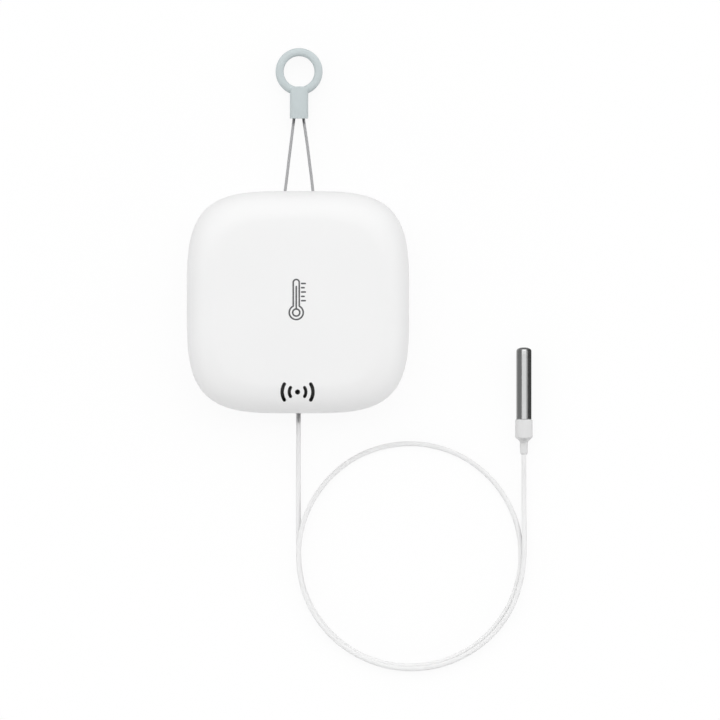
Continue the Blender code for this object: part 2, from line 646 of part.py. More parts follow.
def make_lead_grommet():
    """Grommet in the bottom wall, with a flange inside it."""
    flange = GAP - CAVITY_HALF
    profile = [
        (0, GROMMET_OUTER_Y), (GROMMET_RADIUS - GROMMET_EDGE, GROMMET_OUTER_Y),
        (GROMMET_RADIUS, GROMMET_OUTER_Y + GROMMET_EDGE), (GROMMET_RADIUS, flange),
        (GROMMET_FLANGE_RADIUS, flange), (GROMMET_FLANGE_RADIUS, flange + GROMMET_FLANGE),
        (0, flange + GROMMET_FLANGE),
    ]
    shape = moved(turned(profile, SMALL_SEGMENTS), LEAD_EXIT_X, 0, LEAD_EXIT_HEIGHT, UP_TO_Y)
    return add_mesh("lead_grommet", shape, "boot_white")


def make_lead_connector():
    """Header under the board, the plug in it and the lead's stretch inside the housing."""
    width, depth, height = HEADER_SIZE
    top = BOARD_REAR - GAP
    sides = ((-width / 2, width / 2), (HEADER_Y - depth / 2, HEADER_Y + depth / 2))
    header = add_mesh("lead_header", block(*sides, (top - height, top)), "header_cream")
    pocket = [(low + HEADER_WALL, high - HEADER_WALL) for low, high in sides]
    pocket_top = top - HEADER_WALL
    cut(header, block(*pocket, (top - height - GAP, pocket_top)))
    plug_rear = top - height - PLUG_STAND_OUT
    plug = [(low + GAP, high - GAP) for low, high in pocket]
    add_mesh("lead_plug", block(*plug, (plug_rear, pocket_top - GAP)), "header_cream")
    start = GAP - CAVITY_HALF + GROMMET_FLANGE + GAP
    low, high = LEAD_EXIT_HEIGHT, plug_rear - GAP
    rise, run = high - low, HEADER_Y - start
    route = [
        (LEAD_EXIT_X, start, low), (LEAD_EXIT_X, start + 0.2 * run, low),
        (LEAD_EXIT_X / 2, start + 0.55 * run, low + 0.1 * rise),
        (0, start + 0.85 * run, low + 0.38 * rise), (0, HEADER_Y, low + 0.75 * rise), (0, HEADER_Y, high),
    ]
    points = smooth_points([[value / MM for value in point] for point in route], TAIL_POINTS)
    tube("lead_tail", points, LEAD_DIAMETER, "lead_white")


def probe_piece(name, profile, finish_name):
    """Turned piece of the probe from (radius, Y) pairs."""
    shape = moved(turned(profile), PROBE_X, 0, PROBE_HEIGHT, UP_TO_Y)
    return add_mesh(name, shape, finish_name)


def make_probe():
    """Overmoulded boot, steel sheath with a swaged neck, resin and the thermistor bead in it."""
    relief_top = BOOT_TAIL_Y + BOOT_RELIEF_LENGTH
    bore = NECK_RADIUS + GAP
    bore_end = BOOT_TOP_Y - NECK_LENGTH - GAP
    probe_piece("probe_boot", [
        (0, BOOT_TAIL_Y), (BOOT_TAIL_RADIUS - BOOT_EDGE, BOOT_TAIL_Y),
        (BOOT_TAIL_RADIUS, BOOT_TAIL_Y + BOOT_EDGE), (BOOT_RELIEF_RADIUS, relief_top),
        (BOOT_COLLAR_RADIUS - BOOT_EDGE, BOOT_COLLAR_Y - BOOT_EDGE / 2),
        (BOOT_COLLAR_RADIUS, BOOT_COLLAR_Y + BOOT_EDGE), (BOOT_COLLAR_RADIUS, BOOT_TOP_Y - BOOT_EDGE / 2),
        (BOOT_COLLAR_RADIUS - BOOT_EDGE / 2, BOOT_TOP_Y), (bore, BOOT_TOP_Y), (bore, bore_end), (0, bore_end),
    ], "boot_white")
    neck_end = BOOT_TOP_Y - NECK_LENGTH
    shoulder = BOOT_TOP_Y + GAP
    tip = BOOT_TOP_Y + SHEATH_VISIBLE
    inside, neck_inside = SHEATH_RADIUS - SHEATH_WALL, NECK_RADIUS - SHEATH_WALL
    turns = [math.pi / 2 * i / SHEATH_TIP_STEPS for i in range(SHEATH_TIP_STEPS, 0, -1)]
    dome = [
        (
            SHEATH_RADIUS * math.cos(turn) ** (2 / SHEATH_TIP_POWER),
            tip - SHEATH_EDGE * (1 - math.sin(turn) ** (2 / SHEATH_TIP_POWER)),
        )
        for turn in turns[1:]
    ]
    probe_piece("probe_sheath", [(0, tip)] + dome + [
        (SHEATH_RADIUS, tip - SHEATH_EDGE), (SHEATH_RADIUS, shoulder), (NECK_RADIUS, shoulder),
        (NECK_RADIUS, neck_end), (neck_inside, neck_end), (neck_inside, shoulder + SHEATH_WALL),
        (inside, shoulder + 2 * SHEATH_WALL), (inside, tip - SHEATH_EDGE),
        (inside - SHEATH_WALL, tip - SHEATH_WALL),
        (0, tip - SHEATH_WALL),
    ], "sheath_steel")
    resin_tip = tip - SHEATH_EDGE - GAP
    resin_base = resin_tip - RESIN_LENGTH
    resin_radius, resin_bore = inside - GAP, BEAD_RADIUS + GAP
    bead_tip = resin_tip - RESIN_END_WALL - GAP
    probe_piece("probe_resin", [
        (0, resin_tip), (resin_radius, resin_tip), (resin_radius, resin_base), (resin_bore, resin_base),
        (resin_bore, bead_tip + GAP), (0, bead_tip + GAP),
    ], "resin_amber")
    probe_piece("thermistor_bead", [
        (0, bead_tip), (0.7 * BEAD_RADIUS, bead_tip - 0.3 * BEAD_RADIUS),
        (BEAD_RADIUS, bead_tip - BEAD_RADIUS),
        (BEAD_RADIUS, bead_tip - BEAD_LENGTH + BEAD_RADIUS / 2), (CORES_RADIUS, bead_tip - BEAD_LENGTH),
        (CORES_RADIUS, bore_end + GAP), (0, bore_end + GAP),
    ], "chip_black")


def make_battery_holder():
    """Open tray under the board for the two cells, with a finger notch in each long side."""
    holder = add_mesh("battery_holder", block(
        (-HOLDER_HALF_X, HOLDER_HALF_X), (-HOLDER_HALF_Y, HOLDER_HALF_Y), (HOLDER_REAR, HOLDER_TOP),
    ), "holder_black")
    pocket_y = HOLDER_HALF_Y - HOLDER_WALL
    cut(holder, block(
        (-HOLDER_POCKET_X, HOLDER_POCKET_X), (-pocket_y, pocket_y), (HOLDER_REAR - GAP, HOLDER_FLOOR),
    ))
    cut(holder, block(
        (-HOLDER_NOTCH_HALF, HOLDER_NOTCH_HALF), (-HOLDER_HALF_Y - GAP, HOLDER_HALF_Y + GAP),
        (HOLDER_REAR - GAP, HOLDER_REAR + HOLDER_NOTCH_DEPTH),
    ))
    return holder


def make_cells():
    """Two AAA cells side by side, the second turned end for end."""
    flat, nub = -CELL_LENGTH / 2, CELL_LENGTH / 2
    shoulder = nub - CELL_NUB_LENGTH
    rim = CELL_RADIUS - CELL_EDGE
    profile = [
        (0, flat), (rim, flat), (CELL_RADIUS, flat + CELL_EDGE), (CELL_RADIUS, shoulder - CELL_EDGE),
        (rim, shoulder), (CELL_NUB_RADIUS, shoulder), (CELL_NUB_RADIUS, nub), (0, nub),
    ]
    first = add_mesh("aaa_cell_1", moved(turned(profile), turn=UP_TO_X), "cell_wrap")
    second = add_object("aaa_cell_2", first.data, None)
    shift = CONTACT_X - GAP - CELL_LENGTH / 2
    first.location = (shift, CELL_SPACING / 2, CELL_HEIGHT)
    second.location = (-shift, -CELL_SPACING / 2, CELL_HEIGHT)
    second.rotation_euler = (0, 0, math.pi)


def make_contacts():
    """Flat contacts at both ends of the holder, and the springs on the cells' flat ends."""
    outer = CONTACT_X + CONTACT_THICKNESS
    heights = (CELL_HEIGHT - CONTACT_HALF, CELL_HEIGHT + CONTACT_HALF)
    reach = CELL_SPACING / 2 + CONTACT_HALF
    near = CELL_SPACING / 2 - CONTACT_HALF
    add_mesh("contact_plus", block((CONTACT_X, outer), (near, reach), heights), "contact_nickel")
    add_mesh("contact_minus", block((CONTACT_X, outer), (-reach, -near), heights), "contact_nickel")
    add_mesh("contact_bridge", block((-outer, -CONTACT_X), (-reach, reach), heights), "contact_nickel")
    count = round(SPRING_TURNS * SPRING_TURN_POINTS)
    start, length = CONTACT_X - GAP - SPRING_WIRE / 2, SPRING_LENGTH - SPRING_WIRE
    for index, side in ((1, -1), (2, 1)):
        points = []
        for i in range(count + 1):
            share = i / count
            radius = SPRING_WIDE + (SPRING_NARROW - SPRING_WIDE) * share
            across = polar(radius, 2 * math.pi * SPRING_TURNS * share)
            x = side * (start - length * share)
            points.append((x, across.x - side * CELL_SPACING / 2, CELL_HEIGHT + across.y))
        tube(f"battery_spring_{index}", points, SPRING_WIRE, "contact_nickel", resolution=1)


def make_circuit_board():
    """Board with round holes for the screw bosses."""
    outline = [
        outline_ring(BOARD_HALF_X, BOARD_HALF_Y, height, BOARD_POWER, BOARD_SEGMENTS)
        for height in (BOARD_REAR, BOARD_FRONT)
    ]
    board = add_mesh("circuit_board", loft(outline), "board_green")
    for x, y in screw_places():
        hole = rod(BOSS_RADIUS + GAP, BOARD_REAR - GAP, BOARD_FRONT + GAP, SMALL_SEGMENTS)
        cut(board, moved(hole, x, y))
    return board


def make_board_parts():
    """Blocks soldered on the front of the board."""
    low = BOARD_FRONT + GAP
    for name, size, place, finish_name in (
        ("radio_shield", SHIELD_SIZE, SHIELD_PLACE, "shield_tin"),
        ("radio_antenna", ANTENNA_SIZE, ANTENNA_PLACE, "ceramic_tan"),
        ("controller_chip", CHIP_SIZE, CHIP_PLACE, "chip_black"),
        ("clock_crystal", CRYSTAL_SIZE, CRYSTAL_PLACE, "shield_tin"),
        ("storage_capacitor", CAPACITOR_SIZE, CAPACITOR_PLACE, "ceramic_tan"),
        ("air_sensor", AIR_SENSOR_SIZE, AIR_SENSOR_PLACE, "chip_black"),
    ):
        (width, depth, height), (x, y) = size, place
        sides = ((x - width / 2, x + width / 2), (y - depth / 2, y + depth / 2))
        add_mesh(name, block(*sides, (low, low + height)), finish_name)


def main():
    """Model every piece of the sensor."""
    clear_scene()
    make_front_shell()
    make_rear_cover()
    make_cover_gasket()
    make_cover_screws()
    make_vent_gauze()
    make_battery_holder()
    make_cells()
    make_contacts()
    make_circuit_board()
    make_board_parts()
    make_lead_connector()
    make_lead_grommet()
    make_lead()
    make_probe()
    make_lanyard()
    make_hang_ring()


main()
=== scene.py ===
"""Looks of a wall temperature sensor with a hanging ring and a probe on a lead.

The housing is a rounded square lying on its rear face, with its bottom edge toward -Y.
Lengths are in metres.
"""

import logging
import math
from dataclasses import dataclass
from enum import Enum
from typing import Optional, Sequence, Union

import bmesh
import bpy
import numpy as np
from mathutils import Matrix, Vector


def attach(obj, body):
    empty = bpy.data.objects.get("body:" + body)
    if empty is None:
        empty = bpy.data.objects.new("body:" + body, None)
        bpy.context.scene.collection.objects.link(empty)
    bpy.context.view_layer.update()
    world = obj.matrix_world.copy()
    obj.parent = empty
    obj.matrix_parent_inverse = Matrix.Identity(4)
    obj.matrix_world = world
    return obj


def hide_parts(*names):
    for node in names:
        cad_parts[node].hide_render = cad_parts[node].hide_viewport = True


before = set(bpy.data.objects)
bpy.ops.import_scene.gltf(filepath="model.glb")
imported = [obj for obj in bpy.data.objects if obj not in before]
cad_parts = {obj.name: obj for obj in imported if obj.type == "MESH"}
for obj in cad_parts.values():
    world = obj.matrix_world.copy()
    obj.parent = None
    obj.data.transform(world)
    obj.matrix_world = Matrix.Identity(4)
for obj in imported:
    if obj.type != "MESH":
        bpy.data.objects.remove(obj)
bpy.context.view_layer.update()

LOG = logging.getLogger("temperature_sensor")
MM = 0.001
BODY = "root"
GAP = 0.3 * MM
COAT_ROUGHNESS = 0.2

# Sides of round pieces: small ones, plain ones and those seen from close by
SMALL_ROUND = 48
PLAIN_ROUND = 64
FINE_ROUND = 96

Point = Sequence[float]
Pairs = list[tuple[float, float]]
Shape = bmesh.types.BMesh
Piece = bpy.types.Object


class Turn(Enum):
    """Ways to stand a piece that was turned about Z."""

    UPRIGHT = "upright"
    ALONG_Y = "along_y"

    def matrix(self) -> Matrix:
        """Rotation from the turned piece's own axis to where it points."""
        if self is Turn.ALONG_Y:
            return Matrix.Rotation(-math.pi / 2, 4, "X")
        return Matrix.Identity(4)


class Feel(Enum):
    """Kinds of surface that a finish can have, each with the name of the method that makes it."""

    MOULDED = "moulded"
    RUBBER = "rubber"
    DRAWN_METAL = "drawn_metal"
    PLATED = "plated"
    PRINTED = "printed"
    WOVEN = "woven"
    LAMINATE = "laminate"
    CERAMIC = "ceramic"
    RESIN = "resin"
    STRANDED = "stranded"


# Shader maths


class Wire:
    """One output socket of a material, on which sums are written as operators."""

    def __init__(self, graph: "Graph", socket: Optional[bpy.types.NodeSocket]) -> None:
        """Keep the graph and the socket that the value comes from, which an output node has not."""
        self.graph = graph
        self.socket = socket

    def math(self, operation: str, first: "Number", second: "Number" = 0.0) -> "Wire":
        """Result of a Math node with two values."""
        return self.graph.add("ShaderNodeMath", {"operation": operation}, {0: first, 1: second})

    def __add__(self, other: "Number") -> "Wire":
        """Sum."""
        return self.math("ADD", self, other)

    __radd__ = __add__

    def __sub__(self, other: "Number") -> "Wire":
        """Difference."""
        return self.math("SUBTRACT", self, other)

    def __rsub__(self, other: "Number") -> "Wire":
        """Difference from a plain number."""
        return self.math("SUBTRACT", other, self)

    def __mul__(self, other: "Number") -> "Wire":
        """Product."""
        return self.math("MULTIPLY", self, other)

    __rmul__ = __mul__

    def between(self, low: float, high: float) -> "Wire":
        """Smooth step from 0 at the low value to 1 at the high one, and level outside them."""
        settings = {"interpolation_type": "SMOOTHSTEP", "clamp": True}
        return self.graph.add("ShaderNodeMapRange", settings, {"Value": self, 1: low, 2: high})


Number = Union[Wire, float]
Surface = tuple[Wire, Wire, Wire]


class Graph:
    """Node tree of one material or of the world, with one method that adds any node."""

    def __init__(self, tree: bpy.types.NodeTree) -> None:
        """Start from an empty tree."""
        self.tree = tree
        self.tree.nodes.clear()

    def add(self, kind: str, settings: dict, inputs: dict, output: Union[int, str] = 0) -> Wire:
        """Add a node.

        Args:
            kind: the node's type.
            settings: its own settings, which are set first.
            inputs: values or wires by the socket's name or number.
            output: which of its outputs is wanted.

        Returns:
            The wanted output.
        """
        node = self.tree.nodes.new(kind)
        for name, value in settings.items():
            setattr(node, name, value)
        for name, value in inputs.items():
            socket = node.inputs[name]
            if isinstance(value, Wire):
                self.tree.links.new(value.socket, socket)
            else:
                socket.default_value = value
        return Wire(self, node.outputs[output]) if node.outputs else Wire(self, None)

    def place(self) -> Wire:
        """Place on the object, in metres."""
        return self.add("ShaderNodeTexCoord", {}, {}, "Object")

    def direction(self, letter: str) -> Wire:
        """One part of the direction in which a world is seen."""
        seen = self.add("ShaderNodeTexCoord", {}, {}, "Generated")
        return self.add("ShaderNodeSeparateXYZ", {}, {0: seen}, letter)

    def noise(self, scale: float, detail: float = 2.0, stretch: Point = (1.0, 1.0, 1.0)) -> Wire:
        """Noise over the object.

        Args:
            scale: lumps in a metre.
            detail: how many finer layers it has.
            stretch: how much closer the lumps are along each axis.

        Returns:
            The noise, around 0.5.
        """
        settings = {"operation": "MULTIPLY"}
        spot = self.add("ShaderNodeVectorMath", settings, {0: self.place(), 1: tuple(stretch)})
        inputs = {"Vector": spot, "Scale": scale, "Detail": detail}
        return self.add("ShaderNodeTexNoise", {}, inputs, "Fac")

    def waves(self, direction: str, scale: float, distortion: float = 0.0, detail: float = 2.0) -> Wire:
        """Bands over the object.

        Args:
            direction: "X", "Y" or "DIAGONAL".
            scale: how close the bands are.
            distortion: how much they wander.
            detail: how finely they wander.

        Returns:
            The bands, from 0 to 1.
        """
        settings = {"wave_type": "BANDS", "bands_direction": direction, "wave_profile": "SIN"}
        inputs = {"Vector": self.place(), "Scale": scale, "Distortion": distortion, "Detail": detail}
        return self.add("ShaderNodeTexWave", settings, inputs, "Fac")

    def emission(self, level: float) -> Wire:
        """Plain grey light."""
        return self.add("ShaderNodeEmission", {}, {"Color": grey(level), "Strength": 1.0})

    def diffuse(self, level: float) -> Wire:
        """Plain matt grey."""
        return self.add("ShaderNodeBsdfDiffuse", {}, {"Color": grey(level)})

    def mix(self, factor: Number, first: Wire, second: Wire) -> Wire:
        """Two shaders mixed, the first where the factor is 0."""
        return self.add("ShaderNodeMixShader", {}, {0: factor, 1: first, 2: second})


def grey(value: float) -> tuple[float, float, float, float]:
    """Plain grey with its fourth number."""
    return (value, value, value, 1.0)


def new_material(name: str) -> tuple[bpy.types.Material, Graph]:
    """Material with no nodes yet, and its graph."""
    made = bpy.data.materials.new(name)
    made.use_nodes = True
    return made, Graph(made.node_tree)


# Finishes


@dataclass(frozen=True)
class Finish:
    """One finish of the object, made once as a procedural material.

    Attributes:
        name: the material's name, which is also the record's slot where it has one.
        colour: its plain colour.
        roughness: its plain roughness.
        feel: its kind of surface.
        metallic: 1 for bare metal.
        mottle: how much lighter or darker the colour gets in places.
        grain: lumps of its texture in a metre.
        relief: height of that texture in millimetres.
        coat: clear coat over it.
        gloss: strength of the plain reflection, 0.5 for hard plastic.
    """

    name: str
    colour: Point
    roughness: float
    feel: Feel
    metallic: float = 0.0
    mottle: float = 0.02
    grain: float = 9000.0
    relief: float = 0.01
    coat: float = 0.0
    gloss: float = 0.5

    def make(self) -> bpy.types.Material:
        """Material of this finish.

        Returns:
            The material, made on the first call and found by name afterwards.
        """
        found = bpy.data.materials.get("look_" + self.name)
        if found:
            return found
        made, graph = new_material("look_" + self.name)
        made.diffuse_color = (*self.colour, 1.0)
        colour, roughness, height = getattr(self, self.feel.value)(graph)
        bump = {"Strength": 1.0, "Distance": self.relief * MM, "Height": height}
        shader = graph.add("ShaderNodeBsdfPrincipled", {}, {
            "Base Color": colour, "Roughness": roughness, "Metallic": self.metallic,
            "Normal": graph.add("ShaderNodeBump", {}, bump), "Specular IOR Level": self.gloss,
            "Coat Weight": self.coat, "Coat Roughness": COAT_ROUGHNESS,
        })
        graph.add("ShaderNodeOutputMaterial", {}, {"Surface": shader})
        return made

    def varied(self, tone: Wire, wear: Wire, swing: float, height: Wire) -> Surface:
        """Colour between a darker and a lighter tone, with the roughness and the height.

        Args:
            tone: 0 for the darker tone and 1 for the lighter.
            wear: what moves the roughness, around 0.5.
            swing: how far it moves it.
            height: height of the texture.

        Returns:
            The colour, the roughness and the height.
        """
        settings = {"data_type": "RGBA", "clamp_factor": True}
        dark, light = [
            (*(min(part * share, 1.0) for part in self.colour), 1.0)
            for share in (1 - self.mottle, 1 + self.mottle)
        ]
        inputs = {"Factor": tone, 6: dark, 7: light}
        colour = tone.graph.add("ShaderNodeMix", settings, inputs, 2)
        return colour, wear * swing + (self.roughness - swing / 2), height

    def moulded(self, graph: Graph) -> Surface:
        """Moulded plastic with a fine eroded texture and faint flow clouds."""
        grain = graph.noise(self.grain, 3.0)
        return self.varied(graph.noise(55.0, 2.0).between(0.3, 0.7), grain, 0.12, grain)

    def rubber(self, graph: Graph) -> Surface:
        """Soft moulded rubber, a little dusty."""
        dust = graph.noise(400.0, 4.0).between(0.35, 0.75)
        return self.varied(dust, dust, 0.1, graph.noise(self.grain, 2.0))

    def drawn_metal(self, graph: Graph) -> Surface:
        """Metal with fine marks along Y from drawing and polishing."""
        marks = graph.noise(self.grain, 3.0, (1.0, 0.02, 1.0))
        return self.varied(marks.between(0.3, 0.7), marks, 0.1, marks)

    def plated(self, graph: Graph) -> Surface:
        """Plated or tinned metal with soft clouds."""
        clouds = graph.noise(500.0, 3.0)
        return self.varied(clouds, clouds, 0.14, graph.noise(self.grain, 2.0))

    def printed(self, graph: Graph) -> Surface:
        """Pad-printed ink, slightly uneven in its density."""
        fine = graph.noise(self.grain, 2.0)
        return self.varied(graph.noise(1500.0, 3.0), fine, 0.1, fine)

    def woven(self, graph: Graph) -> Surface:
        """Plain weave of thin threads along X and Y."""
        threads = [graph.waves(direction, self.grain) for direction in "XY"]
        weave = threads[0].math("MAXIMUM", threads[0], threads[1])
        return self.varied(weave, weave, -0.1, weave)

    def laminate(self, graph: Graph) -> Surface:
        """Glass laminate under solder mask, with its weave faintly raised and traces showing."""
        traces = graph.waves("DIAGONAL", 250.0, 5.0, 1.0).between(0.8, 0.9)
        return self.varied(traces, graph.noise(self.grain, 1.0), 0.1, traces)

    def ceramic(self, graph: Graph) -> Surface:
        """Fired or moulded body with fine specks."""
        specks = graph.noise(5000.0, 3.0).between(0.45, 0.65)
        return self.varied(specks, specks, 0.08, graph.noise(self.grain, 2.0))

    def resin(self, graph: Graph) -> Surface:
        """Potting resin, darker where it is deeper."""
        depth = graph.noise(700.0, 2.0)
        return self.varied(depth, depth, 0.1, depth)

    def stranded(self, graph: Graph) -> Surface:
        """Twisted fine wires under a thin coat, seen as short slanting marks."""
        twist = graph.waves("DIAGONAL", self.grain, 0.6)
        return self.varied(twist, twist, -0.1, twist)


SHELL = Finish("shell_white", (0.875, 0.875, 0.875), 0.5, Feel.MOULDED, mottle=0.004, relief=0.003)
COVER = Finish("cover_white", (0.84, 0.84, 0.84), 0.52, Feel.MOULDED, mottle=0.006, relief=0.003)
SEAL = Finish("seal_rubber", (0.25, 0.26, 0.27), 0.7, Feel.RUBBER, mottle=0.08)
RING = Finish("ring_silicone", (0.58, 0.64, 0.65), 0.5, Feel.RUBBER, 0.0, 0.01, relief=0.001, gloss=0.1)
WIRE = Finish("lanyard_wire", (0.38, 0.38, 0.39), 0.42, Feel.STRANDED, mottle=0.05, grain=700.0)
LEAD = Finish("lead_white", (0.855, 0.855, 0.855), 0.45, Feel.RUBBER, 0.0, 0.01, relief=0.002, gloss=0.1)
BOOT = Finish("boot_white", (0.735, 0.735, 0.735), 0.5, Feel.MOULDED, 0.0, 0.01, relief=0.002, gloss=0.1)
SHEATH = Finish("sheath_steel", (0.605, 0.61, 0.61), 0.24, Feel.DRAWN_METAL, 1.0, 0.03, relief=0.001)
SCREW = Finish("screw_steel", (0.60, 0.60, 0.60), 0.33, Feel.PLATED, 1.0, 0.05, 6000.0, 0.003)
CONTACT = Finish("contact_nickel", (0.70, 0.69, 0.66), 0.3, Feel.PLATED, 1.0, 0.05, 4000.0, 0.003)
CELL = Finish("cell_wrap", (0.10, 0.11, 0.12), 0.3, Feel.RUBBER, mottle=0.05, relief=0.003, coat=0.4)
HOLDER = Finish("holder_black", (0.03, 0.03, 0.03), 0.55, Feel.MOULDED, mottle=0.15)
BOARD = Finish("board_green", (0.02, 0.16, 0.07), 0.4, Feel.LAMINATE, 0.0, 0.3, 3000.0, coat=0.3)
SHIELD = Finish("shield_tin", (0.68, 0.68, 0.66), 0.35, Feel.PLATED, 1.0, 0.06, 3000.0, 0.004)
CHIP = Finish("chip_black", (0.02, 0.02, 0.02), 0.45, Feel.CERAMIC, mottle=0.2)
CERAMIC = Finish("ceramic_tan", (0.55, 0.42, 0.25), 0.5, Feel.CERAMIC, mottle=0.1)
GAUZE = Finish("gauze_black", (0.10, 0.10, 0.10), 0.8, Feel.WOVEN, 0.0, 0.6, 1500.0, 0.05)
HEADER = Finish("header_cream", (0.75, 0.70, 0.58), 0.5, Feel.MOULDED)
RESIN = Finish("resin_amber", (0.35, 0.16, 0.04), 0.25, Feel.RESIN, mottle=0.2, coat=0.5)
INK = Finish("print_grey", (0.09, 0.09, 0.095), 0.6, Feel.PRINTED, mottle=0.05, relief=0.001)

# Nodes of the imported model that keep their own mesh, by the finish they get
KEPT_NODES = {
    SEAL: ("cover_gasket",),
    CONTACT: ("contact_plus", "contact_minus", "contact_bridge", "battery_spring_1", "battery_spring_2"),
    CELL: ("aaa_cell_1", "aaa_cell_2"),
    HOLDER: ("battery_holder",),
    BOARD: ("circuit_board",),
    SHIELD: ("radio_shield", "clock_crystal"),
    CHIP: ("controller_chip", "air_sensor", "thermistor_bead"),
    CERAMIC: ("radio_antenna", "storage_capacitor"),
    GAUZE: ("vent_gauze",),
    HEADER: ("lead_header", "lead_plug"),
    LEAD: ("lead_tail",),
    RESIN: ("probe_resin",),
}


# Meshes


def loft(rings: Sequence[Sequence[Vector]], closed: bool = False) -> Shape:
    """Closed mesh over rings of equal size, where a ring of one point ends in a fan.

    Args:
        rings: rings of points, in order.
        closed: true where the last ring joins the first.

    Returns:
        The mesh, with its faces turned outward.
    """
    shape = bmesh.new()
    rows = [[shape.verts.new(point) for point in ring] for ring in rings]
    following = rows[1:] + rows[:1] if closed else rows[1:]
    for row, after in zip(rows, following):
        count = max(len(row), len(after))
        for i in range(count):
            j = (i + 1) % count
            if len(row) == 1:
                shape.faces.new((row[0], after[j], after[i]))
            elif len(after) == 1:
                shape.faces.new((row[i], row[j], after[0]))
            else:
                shape.faces.new((row[i], row[j], after[j], after[i]))
    for row in (rows[0], rows[-1]):
        if not closed and len(row) > 2:
            shape.faces.new(row)
    bmesh.ops.recalc_face_normals(shape, faces=shape.faces)
    return shape


def polar(radius: float, angle: float) -> Vector:
    """Point of the plan at a distance and an angle from the origin."""
    return Vector((radius * math.cos(angle), radius * math.sin(angle)))


def spread(start: float, end: float, steps: int) -> list[float]:
    """Values at equal steps from the start to the end, with both of them."""
    return [start + (end - start) * i / steps for i in range(steps + 1)]


def circle(radius: float, count: int) -> list[Vector]:
    """Points of the plan round the origin."""
    return [polar(radius, 2 * math.pi * i / count) for i in range(count)]


def lifted(points: Sequence[Vector], height: float) -> list[Vector]:
    """Points of the plan at a height."""
    return [Vector((point.x, point.y, height)) for point in points]


def turned(profile: Pairs, segments: int = PLAIN_ROUND, closed: bool = False) -> Shape:
    """Closed mesh turned about Z.

    Args:
        profile: (radius, height) pairs, where radius 0 is a point on the axis.
        segments: sides of each ring.
        closed: true where the profile is a loop beside the axis.

    Returns:
        The mesh.
    """
    rings = [lifted(circle(radius, segments if radius else 1), height) for radius, height in profile]
    return loft(rings, closed)


def rounded(profile: Pairs, radii: dict[int, float], steps: int = 5) -> Pairs:
    """Profile with some of its corners rounded.

    Args:
        profile: (radius, height) pairs.
        radii: how far from each numbered corner its rounding starts.
        steps: points on each rounding.

    Returns:
        The longer profile.
    """
    points: Pairs = []
    for number, corner in enumerate(profile):
        if number not in radii:
            points.append(corner)
            continue
        at = Vector(corner)
        before = Vector(profile[number - 1]) - at
        after = Vector(profile[number + 1]) - at
        start = at + before.normalized() * min(radii[number], before.length / 2)
        end = at + after.normalized() * min(radii[number], after.length / 2)
        for t in spread(0.0, 1.0, steps):
            spot = start * (1 - t) ** 2 + at * (2 * t * (1 - t)) + end * t**2
            points.append((spot.x, spot.y))
    return points


def rod(radius: float, start: float, end: float) -> Shape:
    """Plain round bar along Z between two heights."""
    return turned([(0, start), (radius, start), (radius, end), (0, end)], SMALL_ROUND)


def moved(shape: Shape, place: Point, turn: Turn = Turn.UPRIGHT) -> Shape:
    """Mesh turned and then moved, with itself as the result."""
    shape.transform(Matrix.Translation(Vector(place)) @ turn.matrix())
    return shape


def add_object(name: str, data: bpy.types.ID) -> Piece:
    """Object in the scene, round a mesh, a curve or a camera."""
    piece = bpy.data.objects.new(name, data)
    bpy.context.scene.collection.objects.link(piece)
    return piece


def add_mesh(name: str, shape: Shape, sharp: float = 30.0) -> Piece:
    """Object with smooth faces and creases at sharp edges.

    Args:
        name: the object's name.
        shape: its mesh, which is used up.
        sharp: angle in degrees from which an edge stays crisp.

    Returns:
        The object.
    """
    mesh = bpy.data.meshes.new(name)
    shape.to_mesh(mesh)
    shape.free()
    smooth(mesh, sharp)
    return add_object(name, mesh)


def smooth(mesh: bpy.types.Mesh, sharp: float) -> None:
    """Shade a mesh smooth, with creases from an angle in degrees."""
    mesh.shade_smooth()
    mesh.set_sharp_from_angle(angle=math.radians(sharp))


def combine(target: Piece, shape: Shape, operation: str, sharp: float = 30.0) -> None:
    """Cut a mesh out of an object, or join it to it.

    Args:
        target: the object that changes.
        shape: the tool, which is used up.
        operation: "DIFFERENCE" or "UNION".
        sharp: angle in degrees from which an edge stays crisp.
    """
    tool = add_mesh("tool", shape)
    change = target.modifiers.new("change", "BOOLEAN")
    change.operation = operation
    change.solver = "EXACT"
    change.object = tool
    depsgraph = bpy.context.evaluated_depsgraph_get()
    result = bpy.data.meshes.new_from_object(target.evaluated_get(depsgraph))
    target.modifiers.clear()
    old = target.data
    result.name = old.name + "_cut"
    target.data = result
    bpy.data.meshes.remove(old)
    bpy.data.objects.remove(tool, do_unlink=True)
    smooth(target.data, sharp)


def dress(piece: Piece, finish: Finish, replaces: Sequence[str] = ()) -> None:
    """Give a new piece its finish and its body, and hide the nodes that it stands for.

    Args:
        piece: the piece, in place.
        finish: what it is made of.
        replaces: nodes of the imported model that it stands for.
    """
    piece.data.materials.clear()
    piece.data.materials.append(finish.make())
    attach(piece, BODY)
    if replaces:
        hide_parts(*replaces)
    LOG.info("%s: %s", piece.name, finish.name)


